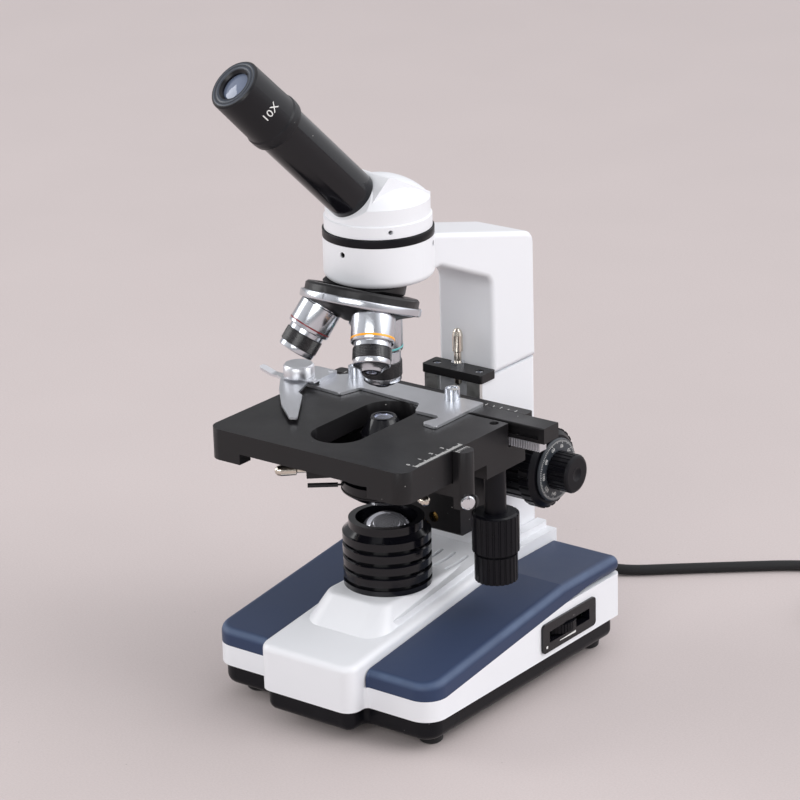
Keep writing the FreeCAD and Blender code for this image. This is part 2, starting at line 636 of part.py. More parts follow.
def eyepiece_tube():
    body = turned([(11.7, TUBE_FACE - 6), (12.0, TUBE_FACE - 6), (12.0, TUBE_FACE), (TUBE_RADIUS, TUBE_FACE),
                   (TUBE_RADIUS, TUBE_END - 0.6), (TUBE_RADIUS - 0.6, TUBE_END), (11.7, TUBE_END)],
                  along_tube(0), tube_axis())
    return body


def eyepiece():
    """Drop-in eyepiece: a wide cap outside and a slim sleeve inside the tube."""
    cap_foot = TUBE_END + 0.2
    sleeve = 11.7 - RUNNING_FIT
    profile = [(9.8, cap_foot - 18), (sleeve, cap_foot - 18), (sleeve, cap_foot), (EYE_RADIUS, cap_foot),
               (EYE_RADIUS + 0.3, cap_foot + 2.5), (EYE_RADIUS + 0.3, cap_foot + 5.5),
               (EYE_RADIUS - 0.3, cap_foot + 6.5), (EYE_RADIUS - 0.8, EYE_END - 1.0), (EYE_RADIUS - EYE_RIM_STEP, EYE_END),
               (9.3, EYE_END), (8.1, EYE_END - 1.2), (8.1, EYE_END - 9), (9.8, EYE_END - 11)]
    return turned(profile, along_tube(0), tube_axis())


def eye_lens():
    top = EYE_END - 1.6
    disc = rod(8.05, along_tube(top - 5), tube_axis(), 5.6)
    ball = Part.makeSphere(26.0, along_tube(top + 0.5 - 26.0))
    return disc.common(ball)


# ---- nosepiece --------------------------------------------------------------------------------------
def apex():
    return Vector(0, 0, APEX_Z)


def turret_axis():
    tilt = math.radians(TURRET_TILT_DEG)
    return Vector(0, -math.sin(tilt), -math.cos(tilt))


def along_turret(distance):
    return apex() + turret_axis() * distance


def objective_axis(index):
    """Direction of an objective: 0 is on the optical axis, 1 and 2 are a third of a turn away."""
    straight_down = Vector(0, 0, -1)
    return Rotation(turret_axis(), 120 * index).multVec(straight_down)


def turret_body():
    tilt = math.radians(TURRET_TILT_DEG)
    seat_rise = math.tan(tilt)
    low_rim = TURRET_RING_BOTTOM - 0.2
    nub = low_rim + (TURRET_RADIUS + 0.4 - 7.0) * seat_rise
    profile = [(0, TURRET_TOP), (TURRET_RADIUS - 1.2, TURRET_TOP), (TURRET_RADIUS, TURRET_TOP + 1.2),
               (TURRET_RADIUS, TURRET_RING_TOP), (TURRET_RADIUS + 0.4, TURRET_RING_TOP),
               (TURRET_RADIUS + 0.4, low_rim), (7.0, nub), (0, nub)]
    body = turned(profile, apex(), turret_axis())
    pivot = rod(5.0 + RUNNING_FIT, along_turret(TURRET_TOP - 1), turret_axis(), 14.2)
    holes = [pivot, rod(2.1, along_turret(TURRET_TOP), turret_axis(), 40)]
    for i in range(3):
        holes.append(rod(9.9, apex() + objective_axis(i) * 40, objective_axis(i), 40))
    return body.cut(holes)


def turret_ring():
    ring = turned([(TURRET_RADIUS + 0.45, TURRET_RING_TOP + 0.1), (TURRET_RING_RADIUS - 0.5, TURRET_RING_TOP + 0.1),
                   (TURRET_RING_RADIUS, TURRET_RING_TOP + 0.6), (TURRET_RING_RADIUS, TURRET_RING_BOTTOM - 0.6),
                   (TURRET_RING_RADIUS - 0.5, TURRET_RING_BOTTOM), (TURRET_RADIUS + 0.45, TURRET_RING_BOTTOM)],
                  apex(), turret_axis())
    notches = []
    for i in range(3):
        spot = Rotation(turret_axis(), 120 * i + 60).multVec(Vector(0, 0, -1))
        outward = (spot - turret_axis() * spot.dot(turret_axis())).normalize()
        middle = along_turret(TURRET_RING_TOP - 1) + outward * (TURRET_RING_RADIUS + 0.3)
        notches.append(rod(0.9, middle, turret_axis(), 8))
    return ring.cut(notches)


def turret_screw():
    foot = TURRET_RING_BOTTOM - 0.2 + (TURRET_RADIUS + 0.4 - 7.0) * math.tan(math.radians(TURRET_TILT_DEG))
    head = turned([(0, foot), (4.6, foot), (4.6, foot + 1.4), (3.4, foot + 2.6), (0, foot + 2.9)],
                  apex(), turret_axis())
    shank = rod(2.05, along_turret(foot - 3), turret_axis(), 3.5)
    return fused([head, shank])


def objective_profile(neck_start, grip, tip):
    """Outline of one objective, as (radius, distance from the apex)."""
    seat = OBJECTIVE_SEAT
    outline = [(4.0, seat - 4.5), (9.8, seat - 4.5), (9.8, seat), (OBJECTIVE_RADIUS, seat),
               (OBJECTIVE_RADIUS, neck_start - 0.6), (OBJECTIVE_RADIUS - 0.6, neck_start),
               (grip[0] - 0.6, neck_start), (grip[0] - 0.6, grip[1]), (grip[0] - 1.2, grip[1]),
               (grip[0] - 1.2, grip[2]), (grip[0] - 0.5, grip[2]), (grip[0] - 0.5, grip[2] + 2.6)]
    return outline + tip


GRIPS = {0: (11.2, 85.2, 93.8), 1: (10.65, 77.8, 84.4), 2: (10.65, 77.8, 85.6)}


def objective_40x():
    grip = GRIPS[0]
    tip = [(grip[0] - 1.0, grip[2] + 3.1), (8.8, 98.0), (5.2, 99.4), (4.4, 100.2), (2.0, 100.2), (2.0, 98), (4.0, 95)]
    return turned(objective_profile(79.2, grip, tip), apex(), objective_axis(0))


def objective_10x():
    grip = GRIPS[1]
    tip = [(grip[0] - 1.0, grip[2] + 3.1), (9.0, 87.6), (6.2, 89.6), (5.4, 91.0), (3.0, 91.0), (3.0, 88), (4.0, 86)]
    return turned(objective_profile(75.1, grip, tip), apex(), objective_axis(1))


def objective_4x():
    grip = GRIPS[2]
    tip = [(grip[0] - 1.0, grip[2] + 3.1), (7.6, 88.7), (7.0, 87.0), (5.0, 87.0), (5.0, 85), (4.0, 83)]
    return turned(objective_profile(75.1, grip, tip), apex(), objective_axis(2))


def objective_grips():
    """Knurled sleeves of the three objectives."""
    sleeves = []
    for index, (radius, low, high) in GRIPS.items():
        axis = objective_axis(index)
        sleeve = fluted(radius, 0.35, 36, apex() + axis * low, axis, high - low)
        sleeves.append(sleeve.cut(rod(radius - 1.15, apex() + axis * low, axis, high - low)))
    return group(sleeves)


def objective_lenses():
    lenses = []
    for index, radius, low, high in ((0, 1.95, 98.4, 100.0), (1, 2.95, 89.0, 90.8), (2, 4.95, 85.2, 86.8)):
        axis = objective_axis(index)
        lenses.append(turned([(0, low), (radius, low), (radius, high - 0.3), (radius * 0.6, high), (0, high)],
                             apex(), axis))
    return group(lenses)


# ---- stage ------------------------------------------------------------------------------------------
def stage_carriage():
    """Black slide block with the fixed lower stage plate on top."""
    front = side_profile([(CARRIAGE_FRONT, CARRIAGE_BOTTOM, 2), (GUIDE_FRONT - 0.5, CARRIAGE_BOTTOM, 0),
                          (GUIDE_FRONT - 0.5, BRACKET_LOW, 0), (CARRIAGE_FRONT, BRACKET_LOW, 0)],
                         (-CARRIAGE_HALF_WIDTH, CARRIAGE_HALF_WIDTH))
    slide = box((-SLIDE_HALF_WIDTH + 0.5, SLIDE_HALF_WIDTH - 0.5), (GUIDE_FRONT - 0.5, SLIDE_DEPTH_Y - 4),
                (95, 149.5))
    plate = box((-48, 48), (-30, GUIDE_FRONT - 1.5), (BRACKET_LOW, BRACKET_TOP))
    well = rod(HOLDER_RING_RADIUS + 0.5, Vector(0, 0, BRACKET_LOW - 1), UP, 20)
    mouth = box((-HOLDER_RING_RADIUS - 0.5, HOLDER_RING_RADIUS + 0.5), (-60, 0), (BRACKET_LOW - 1, BRACKET_TOP + 1))
    post_arm = box((40, 73), (-28, -17), (BRACKET_LOW + 0.5, BRACKET_TOP - 0.3))
    y_rack = box((48, 54.6), (-12, 46), (BRACKET_LOW + 2.5, BRACKET_TOP))
    brass_hole = rod(3.2, Vector(3, CARRIAGE_FRONT - 1, 91), BACK, 8)
    return fused([front, slide, plate, post_arm, y_rack]).cut([well, mouth, brass_hole])


def focus_rack():
    """Straight toothed rack on the back of the slide, in mesh with the focusing pinion."""
    back = FOCUS_Y - PINION_RADIUS - 0.25
    rack = box((-4, 4), (SLIDE_DEPTH_Y - 4, back), (96, 149))
    notches = []
    pitch = 2.0
    for i in range(26):
        z = 97.5 + pitch * i
        notches.append(box((-5, 5), (back - 0.9, back + 1), (z - 0.5, z + 0.5)))
    return rack.cut(notches)


def vernier_post():
    flat = STAGE_HALF_WIDTH + 0.4
    y = -22.5
    body = rod(5.6, Vector(flat + 3.2, y, 133.0), UP, STAGE_TOP - 133.0)
    body = fused([body, box((flat, flat + 3.2), (y - 5.6, y + 5.6), (133.0, STAGE_TOP))])
    body = body.cut([box((0, flat), (-60, 60), (100, 200)),
                     box((60, 73.05), (y - 5.52, y + 5.52), (BRACKET_LOW + 0.45, BRACKET_TOP - 0.25))])
    screw = screw_head(Vector(flat + 8.6, y - 0.0, 137.0), RIGHT, 3.9)
    return group([body, screw])


def screw_head(start, axis, radius):
    head = turned([(0, 0), (radius, 0), (radius, 1.2), (radius - 0.7, 2.0), (0, 2.3)], start, axis)
    slot = box((0, 10), (-0.5, 0.5), (-10, 10))
    slot.Placement = Placement(start + axis * 1.3, Rotation(RIGHT, axis))
    return head.cut(slot)


def stage_plate():
    wide = STAGE_HALF_WIDTH
    outline = [(-wide, STAGE_REAR, 2), (-wide, STAGE_FRONT, 8), (wide, STAGE_FRONT, 8), (wide, STAGE_REAR, 2)]
    block = slab(outline, SKIRT_BOTTOM, STAGE_TOP)
    under_hollow = slab([(-50, STAGE_REAR - 4, 3), (-50, -62, 5), (50, -62, 5), (50, STAGE_REAR - 4, 3)],
                        SKIRT_BOTTOM - 1, STAGE_TOP - STAGE_THICK)
    under_hollow = under_hollow.cut(box((-80, 80), (STAGE_BAR_FRONT - 1.5, 80), (151.2, 200)))
    front_recess = box((-45, 43), (-80, -60), (SKIRT_BOTTOM - 1, STAGE_TOP - STAGE_THICK))
    bar_channel = box((-80, 80), (STAGE_BAR_FRONT, BAR_REAR + 0.5), (156.8, 200))
    rack_channel = box((-80, 80), (STAGE_BAR_FRONT, 34.5), (151.7, 158))
    slot = slab([(-SLOT_RADIUS, SLOT_REAR, SLOT_RADIUS - 0.01), (-SLOT_RADIUS, SLOT_FRONT, SLOT_RADIUS - 0.01),
                 (SLOT_RADIUS, SLOT_FRONT, SLOT_RADIUS - 0.01), (SLOT_RADIUS, SLOT_REAR, SLOT_RADIUS - 0.01)],
                140, 180)
    slide_window = box((-SLIDE_HALF_WIDTH - 0.5, SLIDE_HALF_WIDTH + 0.5), (40, 60), (140, 150))
    knob_block = box((55.5, wide), (3.4, 39.7), (139.4, SKIRT_BOTTOM))
    axis_foot = Vector(XY_X, XY_Y, 130)
    pinion_room = [rod(6.6, axis_foot, UP, 21.2), rod(2.7, axis_foot, UP, 40), rod(6.4, Vector(XY_X, XY_Y, 151.2), UP, 5.6)]
    y_rack_room = box((49, 55.5), (-30, 62), (130, 148.0))
    body = fused([block, knob_block])
    return body.cut([under_hollow, front_recess, bar_channel, rack_channel, slot, y_rack_room] + pinion_room)


def x_bar():
    bar = side_profile([(BAR_FRONT, 157.2, 0), (BAR_REAR, 157.2, 0), (BAR_REAR, BAR_TOP, 0.6),
                        (BAR_FRONT, BAR_TOP, 0.6)], (-60, BAR_END_X))
    groove = box((-55, BAR_END_X - 4), (BAR_FRONT - 1, BAR_FRONT + 2.5), (159.2, 164.2))
    holes = [rod(1.6, Vector(x, thumb_y(), 160), UP, 10) for x in thumb_places()]
    return bar.cut([groove] + holes)


def x_rack():
    rack = box((10, BAR_END_X - 3), (XY_Y + 6.0, 32.5), (152.2, 157.2))
    notches = []
    pitch = 1.6
    for i in range(48):
        x = 11.0 + pitch * i
        notches.append(box((x - 0.4, x + 0.4), (XY_Y, XY_Y + 6.8), (150, 157.0)))
    return rack.cut(notches)


def thumb_places():
    return (22.0, -46.5)


def thumb_y():
    return 34.8


def slide_holder():
    """Flat bright plate that squares the slide: rear fence and a fixed hooked jaw on the right."""
    outline = [(40.5, 39.2, 1.2), (40.6, -6.8, 2.0), (30.2, -5.2, 2.4), (31.2, -1.0, 1.0), (33.6, 6.0, 1.0),
               (31.0, 8.3, 0.6), (15.9, 8.3, 1.2), (10.7, 19.1, 1.0), (-33.2, 22.0, 1.0), (-37.2, 7.8, 1.5),
               (-56.0, 9.6, 1.0), (-79.0, 9.6, 1.0), (-79.0, 32.0, 1.0), (-56.6, 33.0, 1.0), (-51.0, 39.2, 2.0)]
    plate = slab(outline, BAR_TOP, BAR_TOP + HOLDER_THICK)
    holes = [rod(1.7, Vector(x, thumb_y(), BAR_TOP - 1), UP, 5) for x in thumb_places()]
    return plate.cut(holes)


def holder_thumbscrews():
    screws = []
    for x in thumb_places():
        foot = Vector(x, thumb_y(), BAR_TOP + HOLDER_THICK)
        head = fluted(4.3, 0.35, 20, foot, UP, 6.6)
        head = head.cut(turned([(0, 6.0), (3.2, 6.0), (3.4, 7.0), (0, 7.0)], foot))
        shank = rod(1.55, foot + UP * -7.0, UP, 7.0)
        screws.append(fused([head, shank]))
    return group(screws)


def finger_outline():
    """The curved sprung finger with its notch for the slide's corner."""
    return [(-62.0, 12.0, 2.0), (-55.4, -6.4, 0.3), (-50.0, -9.4, 0.5), (-29.2, -39.6, 0.8), (-33.2, -41.8, 0.8),
            (-50.0, -28.0, 12.0), (-68.0, -8.0, 16.0), (-79.5, 7.5, 1.0), (-83.0, 8.6, 0.3),
            (-83.0, 13.6, 0.3), (-78.0, 17.0, 4.0), (-70.0, 19.5, 3.0)]


def slide_finger():
    """Sprung finger with a thumb lever behind it that curves gently upwards."""
    low = BAR_TOP + HOLDER_THICK + 0.1
    blade = slab(finger_outline(), low, low + 1.4)
    rise = 3.0
    lever = front_profile([(-82.0, low, 0), (-82.0, low + 1.4, 0), (-87.0, low + 1.4, 8.0),
                           (TAIL_TIP_X + 0.4, low + rise + 1.4, 0), (TAIL_TIP_X, low + rise, 0),
                           (-87.4, low, 8.0)], (8.6, 13.6))
    tip = rod(2.5, Vector(TAIL_TIP_X + 2.5, 11.1, 160), UP, 20)
    straight = box((TAIL_TIP_X + 2.5, -70), (0, 20), (160, 180))
    lever = lever.common(fused([tip, straight]))
    return fused([blade, lever]).cut(rod(2.5 + RUNNING_FIT, Vector(FINGER_X, FINGER_Y, low - 1), UP, 4))


def finger_mount():
    """Riveted cover plate with the round spring barrel over the finger's pivot."""
    low = BAR_TOP + HOLDER_THICK
    top = low + 1.7
    cover = slab([(-79.0, 8.4, 1.0), (-56.0, 8.4, 1.0), (-56.6, 31.0, 1.0), (-72.0, 31.0, 1.0)], top, top + 1.2)
    spacer = slab([(-60.5, 16.0, 0.5), (-56.4, 14.0, 0.5), (-56.8, 30.6, 0.5), (-66.0, 30.6, 0.5)], low, top)
    pin = rod(2.5, Vector(FINGER_X, FINGER_Y, low), UP, 2)
    barrel = turned([(0, top + 1.2), (8.9, top + 1.2), (8.9, top + 7.2), (7.9, top + 8.4), (0, top + 8.4)],
                    Vector(FINGER_X, FINGER_Y, 0))
    rivets = [rod(1.2, Vector(x, y, top + 1.2), UP, 0.5) for x, y in ((-59.2, 27.8), (-58.6, 12.2))]
    return fused([cover, spacer, pin, barrel] + rivets)


def y_knob():
    axis_foot = Vector(XY_X, XY_Y, 0)
    bore = 4.2
    sleeve = tube(6.2, bore, axis_foot + UP * 91.5, UP, 146.8 - 91.5)
    knob = fluted(13.3, 0.6, 24, axis_foot + UP * 91.5, UP, 21.6)
    knob = knob.cut(rod(bore, axis_foot + UP * 91.5, UP, 30))
    top_land = turned([(bore, 113.1), (12.4, 113.1), (11.6, 114.0), (bore, 114.0)], axis_foot)
    return fused([sleeve, knob, top_land])


def x_knob():
    axis_foot = Vector(XY_X, XY_Y, 0)
    shaft = rod(2.6, axis_foot + UP * 80, UP, 76.4)
    pinion = fluted(5.75, 0.7, 18, axis_foot + UP * 152.4, UP, 4.0)
    knob = fluted(12.1, 0.6, 24, axis_foot + UP * 74.0, UP, 15.6)
    skirt = turned([(0, 89.6), (10.6, 89.6), (10.6, 91.2), (0, 91.2)], axis_foot)
    return fused([shaft, pinion, knob, skirt])


# ---- condenser --------------------------------------------------------------------------------------
def condenser_holder():
    low, high = HOLDER_BOTTOM, HOLDER_BOTTOM + 7.6
    inside = rod(HOLDER_RING_RADIUS - 1, Vector(0, 0, 100), UP, 60)
    ring = tube(HOLDER_RING_RADIUS, CONDENSER_RADIUS + RUNNING_FIT, Vector(0, 0, low), UP, high - low)
    arm = box((-14, 14), (22, CARRIAGE_FRONT), (low, high)).cut(inside)
    pieces = [ring, arm]
    for turn in CLAMP_SCREWS_DEG:
        lug = box((23, LUG_REACH), (-6, 6), (low, high)).cut(inside)
        lug.rotate(Vector(0, 0, 0), UP, turn)
        pieces.append(lug)
    return fused(pieces)


def condenser_screws():
    """Two bullet-headed clamp screws in the lugs, one to the front left and one to the front right."""
    bullets = []
    for turn in CLAMP_SCREWS_DEG:
        outward = Vector(math.cos(math.radians(turn)), math.sin(math.radians(turn)), 0)
        start = outward * LUG_REACH + UP * (HOLDER_BOTTOM + 3.4)
        bullets.append(turned([(0, 0), (1.8, 0), (1.8, 5.0), (3.0, 5.6), (3.2, 14.0), (2.7, 16.0), (1.5, 17.2),
                               (0, 17.6)], start, outward))
    return group(bullets)


def condenser_barrel():
    outer = [(0, 118.0), (19.0, 118.0), (24.0, 121.4), (25.0, 122.4), (25.0, 128.5), (CONDENSER_RADIUS, 128.9),
             (CONDENSER_RADIUS, 147.0), (14.0, 147.6), (12.8, 155.0), (7.6, 163.6), (6.9, 164.2), (0, 164.2)]
    body = turned(outer)
    light_path = rod(9.0, Vector(0, 0, 110), UP, 40)
    lens_seat = rod(5.6, Vector(0, 0, 158), UP, 10)
    iris_groove = tube(30.0, 22.0, Vector(0, 0, 123.1), UP, 1.6)
    return body.cut([light_path, lens_seat, iris_groove])


def condenser_lens():
    disc = rod(5.55, Vector(0, 0, 158.2), UP, 6.4)
    ball = Part.makeSphere(22.0, Vector(0, 0, 164.3 - 22.0))
    return disc.common(ball)


def iris_lever():
    """Thin ring in the condenser groove with the lever that opens the iris."""
    ring = tube(24.6, 22.3, Vector(0, 0, 123.3), UP, 1.2)
    turn = math.radians(218)
    outward = Vector(math.cos(turn), math.sin(turn), 0)
    lever = rod(0.6, outward * 23.5 + UP * 123.9, outward, 5)
    handle = rod(1.3, outward * 26.5 + UP * 123.9, outward, 17)
    return fused([ring, lever, handle])


# ---- focus drive ------------------------------------------------------------------------------------
def coarse_shaft():
    start = Vector(-46, FOCUS_Y, FOCUS_Z)
    shaft = tube(4.5, 3.0 + RUNNING_FIT, start, RIGHT, 92)
    pinion = fluted(PINION_RADIUS, 0.9, 19, Vector(-5, FOCUS_Y, FOCUS_Z), RIGHT, 10)
    pinion = pinion.cut(rod(4.4, Vector(-5, FOCUS_Y, FOCUS_Z), RIGHT, 10))
    return fused([shaft, pinion])


def coarse_knob():
    barrel_start, rim_start, rim_end = 22.6, 47.6, 56.4
    axis_foot = Vector(0, FOCUS_Y, FOCUS_Z)
    barrel = fluted(21.0, 0.9, 22, axis_foot + RIGHT * barrel_start, RIGHT, rim_start - barrel_start)
    rim = fluted(COARSE_RADIUS, 0.7, 28, axis_foot + RIGHT * rim_start, RIGHT, rim_end - 2.4 - rim_start)
    land = turned([(0, rim_end - 2.4), (COARSE_RADIUS - 0.9, rim_end - 2.4), (COARSE_RADIUS - 3.4, rim_end),
                   (0, rim_end)], axis_foot, RIGHT)
    shaft_hole = rod(4.5 + PRESS_GAP, axis_foot, RIGHT, 100)
    return fused([barrel, rim, land]).cut(shaft_hole)


def fine_shaft():
    return rod(3.0, Vector(-66, FOCUS_Y, FOCUS_Z), RIGHT, 132)


def fine_scale_ring():
    foot = Vector(0, FOCUS_Y, FOCUS_Z)
    bore = 3.0 + PRESS_GAP
    return turned([(bore, 56.7), (17.6, 56.7), (18.4, 57.2), (18.4, 58.0), (17.8, 58.8), (bore, 58.8)], foot, RIGHT)


def fine_knob():
    foot = Vector(0, FOCUS_Y, FOCUS_Z)
    low = 58.82
    high = FINE_FACE_X - 1.4
    grip = fluted(FINE_RADIUS, 0.5, 26, foot + RIGHT * low, RIGHT, high - low)
    face = turned([(0, high), (FINE_RADIUS - 0.1, high), (FINE_RADIUS - 0.8, high + 1.0), (FINE_RADIUS - 2.0, high + 1.4),
                   (0, high + 1.4)], foot, RIGHT)
    dimple = Part.makeSphere(9.0, foot + RIGHT * (FINE_FACE_X + 8.0))
    return fused([grip, face]).cut([dimple, rod(3.0 + PRESS_GAP, foot, RIGHT, 68)])


# ---- power cord -------------------------------------------------------------------------------------
def gland_tip():
    return Vector(GLAND_X, BASE_REAR + GLAND_LENGTH, GLAND_Z)


def cable_gland():
    foot = Vector(GLAND_X, BASE_REAR - WALL - 2.0, GLAND_Z)
    reach = GLAND_LENGTH + WALL + 1.6
    profile = [(0, 0), (6.5, 0), (6.5, 2.0), (4.5, 2.0), (4.5, 4.5), (7.0, 4.5), (7.0, 7.0), (5.6, 8.4),
               (3.6, reach), (0, reach)]
    return turned(profile, foot, BACK)


def cord_route():
    """Corner points of the free cord, from the gland to where the coil's outer turn begins."""
    turn = math.radians(COIL_ENTRY_DEG)
    outer = COIL_MEAN_RADIUS + CORD_DIAMETER
    entry = Vector(COIL_X + outer * math.cos(turn), COIL_Y + outer * math.sin(turn), CORD_FLOOR)
    return [gland_tip(), Vector(-33.4, 170, 27.2), Vector(-24.6, 189.3, 17.8), Vector(-6, 199, 7.2),
            Vector(19.5, 206.0, CORD_FLOOR), Vector(46, 228, CORD_FLOOR), Vector(76, 252, CORD_FLOOR),
            Vector(104, 274, CORD_FLOOR), Vector(134, 290, CORD_FLOOR), Vector(172, 292, CORD_FLOOR), entry]


def power_cord():
    """Round cord along straight runs joined by tangent arcs."""
    points = cord_route()
    edges = []
    here = points[0]
    for i in range(1, len(points) - 1):
        corner = points[i]
        back = (points[i - 1] - corner)
        ahead = (points[i + 1] - corner)
        shorter = min(back.Length, ahead.Length)
        back.normalize()
        ahead.normalize()
        half = back.getAngle(ahead) / 2
        reach = 0.45 * shorter
        radius = reach * math.tan(half)
        print(f"cord radius {radius:.1f}, turn {180 - math.degrees(2 * half):.1f}, run {shorter:.1f}")
        start = corner + back * reach
        end = corner + ahead * reach
        middle = corner + (back + ahead).normalize() * (radius / math.sin(half) - radius)
        edges.append(Part.LineSegment(here, start).toShape())
        edges.append(Part.Arc(start, middle, end).toShape())
        here = end
    edges.append(Part.LineSegment(here, points[-1]).toShape())
    path = Part.Wire(edges)
    section = Part.Wire(Part.makeCircle(CORD_DIAMETER / 2, points[0], points[1] - points[0]))
    cord = path.makePipeShell([section], True, True)
    ideal = math.pi * (CORD_DIAMETER / 2) ** 2 * path.Length
    print(f"cord length {path.Length:.1f} mm, volume {cord.Volume:.0f}, section x length {ideal:.0f}")
    return cord


def power_cord_coil():
    outer = COIL_MEAN_RADIUS + 1.5 * CORD_DIAMETER
    inner = COIL_MEAN_RADIUS - 1.5 * CORD_DIAMETER
    return turned([(inner, 0.1), (outer, 0.1), (outer, 2 * CORD_DIAMETER), (inner, 2 * CORD_DIAMETER)],
                  Vector(COIL_X, COIL_Y, 0))


def plug_axis():
    turn = math.radians(COIL_ENTRY_DEG - 70)
    return Vector(math.sin(turn), -math.cos(turn), 0)


def power_plug():
    """Moulded three-pin plug with its tapered strain relief, lying beside the coil."""
    turn = math.radians(COIL_ENTRY_DEG - 70)
    outer = COIL_MEAN_RADIUS + CORD_DIAMETER
    start = Vector(COIL_X + outer * math.cos(turn), COIL_Y + outer * math.sin(turn), 12.0)
    start = start + plug_axis() * 27
    body = turned([(0, 0), (3.4, 0), (5.0, 24), (8.0, 26), (10.5, 34), (11.5, 44), (12.0, 47), (0, 47)],
                  start, plug_axis())
    face = start + plug_axis() * 46.5
    across = plug_axis().cross(UP)
    pins = []
    for shift in (-6.3, 6.3):
        foot = face + across * shift
        pin = box((0, 17), (-0.8, 0.8), (-3.1, 3.1))
        pin.Placement = Placement(foot, Rotation(plug_axis(), across, UP, "XYZ"))
        pins.append(pin)
    pins.append(rod(2.4, face + UP * -8.0, plug_axis(), 19))
    return fused([body] + pins)


# ---- all pieces -------------------------------------------------------------------------------------
def pieces():
    panel = side_panel()
    knob = coarse_knob()
    small_knob = fine_knob()
    return {
        "base_housing": base_housing(),
        "side_panel_right": panel,
        "side_panel_left": mirrored(panel),
        "bottom_tray": bottom_tray(),
        "rubber_feet": rubber_feet(),
        "foot_screws": foot_screws(),
        "lamp_housing": lamp_housing(),
        "collector_lens": collector_lens(),
        "lamp": lamp(),
        "power_board": group([power_board(), dimmer_control()]),
        "dimmer_bezel": dimmer_bezel(),
        "dimmer_wheel": dimmer_wheel(),
        "cable_gland": cable_gland(),
        "power_cord": power_cord(),
        "power_cord_coil": power_cord_coil(),
        "power_plug": power_plug(),
        "lower_arm": lower_arm(),
        "upper_arm": upper_arm(),
        "guide_rails": guide_rails(),
        "limit_bar": limit_bar(),
        "limit_bar_fasteners": limit_bar_fasteners(),
        "limit_screw": limit_screw(),
        "head_collar": head_collar(),
        "nosepiece_mount": nosepiece_mount(),
        "prism_housing": prism_housing(),
        "prism": prism_block(0.0),
        "eyepiece_tube": eyepiece_tube(),
        "eyepiece": eyepiece(),
        "eye_lens": eye_lens(),
        "turret_body": turret_body(),
        "turret_ring": turret_ring(),
        "turret_screw": turret_screw(),
        "objective_4x": objective_4x(),
        "objective_10x": objective_10x(),
        "objective_40x": objective_40x(),
        "objective_grips": objective_grips(),
        "objective_lenses": objective_lenses(),
        "stage_carriage": stage_carriage(),
        "focus_rack": focus_rack(),
        "vernier_post": vernier_post(),
        "stage_plate": stage_plate(),
        "x_bar": x_bar(),
        "x_rack": x_rack(),
        "slide_holder": slide_holder(),
        "holder_thumbscrews": holder_thumbscrews(),
        "slide_finger": slide_finger(),
        "finger_mount": finger_mount(),
        "y_knob": y_knob(),
        "x_knob": x_knob(),
        "condenser_holder": condenser_holder(),
        "condenser_screws": condenser_screws(),
        "condenser_barrel": condenser_barrel(),
        "condenser_lens": condenser_lens(),
        "iris_lever": iris_lever(),
        "coarse_shaft": coarse_shaft(),
        "coarse_knobs": group([knob, mirrored(knob)]),
        "fine_shaft": fine_shaft(),
        "fine_scale_ring": fine_scale_ring(),
        "fine_knob_right": small_knob,
        "fine_knob_left": mirrored(small_knob),
    }


CORD_NODES = ("cable_gland", "power_cord", "power_cord_coil", "power_plug")


def eyepiece_front():
    """How far the eyepiece reaches towards the user from the optical axis."""
    forward = -tube_axis().y
    return EYE_END * forward + (EYE_RADIUS - EYE_RIM_STEP) * math.sqrt(1 - forward * forward)


AXIS_X = -(BAR_END_X + TAIL_TIP_X) / 2
AXIS_Y = (eyepiece_front() - BASE_REAR) / 2


def main():
    os.makedirs("parts", exist_ok=True)
    for name, shape in pieces().items():
        shape.translate(Vector(AXIS_X, AXIS_Y, 0))
        shape.exportStep(f"parts/{name}.step")


if __name__ == "__main__":
    main()
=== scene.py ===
import json
import math

import bmesh
import bpy
from mathutils import Matrix, Vector


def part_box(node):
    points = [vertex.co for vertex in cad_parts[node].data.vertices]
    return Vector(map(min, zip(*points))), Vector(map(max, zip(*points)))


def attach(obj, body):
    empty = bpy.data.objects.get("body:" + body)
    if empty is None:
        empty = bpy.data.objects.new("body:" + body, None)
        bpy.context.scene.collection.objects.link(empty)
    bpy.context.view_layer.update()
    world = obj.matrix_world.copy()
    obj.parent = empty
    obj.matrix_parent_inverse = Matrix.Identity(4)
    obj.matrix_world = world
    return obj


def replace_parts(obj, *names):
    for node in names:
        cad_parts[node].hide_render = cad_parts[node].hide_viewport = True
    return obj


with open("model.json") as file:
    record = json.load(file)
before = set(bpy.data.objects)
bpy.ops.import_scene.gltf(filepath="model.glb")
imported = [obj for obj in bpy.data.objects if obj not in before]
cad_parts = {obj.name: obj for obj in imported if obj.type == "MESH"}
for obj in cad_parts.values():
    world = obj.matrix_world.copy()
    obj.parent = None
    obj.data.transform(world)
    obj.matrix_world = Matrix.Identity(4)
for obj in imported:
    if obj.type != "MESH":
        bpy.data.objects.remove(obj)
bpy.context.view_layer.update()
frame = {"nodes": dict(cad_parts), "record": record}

# Looks of a monocular student microscope. Places are written in millimetres about its optical axis, as in the
# CAD source, and metres() turns them into metres in the shared frame.
MM = 0.001
record = frame["record"]
nodes = frame["nodes"]

lamp_low, lamp_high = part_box("lamp_housing")
AXIS = Vector(((lamp_low.x + lamp_high.x) / 2, (lamp_low.y + lamp_high.y) / 2, 0))

# ---- sizes, in millimetres about the optical axis ---------------------------------------------------------
# nosepiece: apex and tilt as in the CAD source, and heights along its axis or a barrel's, from the apex
APEX = Vector((0, 0, 282.4))
TURRET_TILT = math.radians(20)
OBJECTIVE_RADIUS, SEAT = 11.9, 60.3
RING_RADIUS, RING_TOP, RING_BOTTOM, NOTCH_DEPTH = 33.5, 48.3, 52.7, 0.6
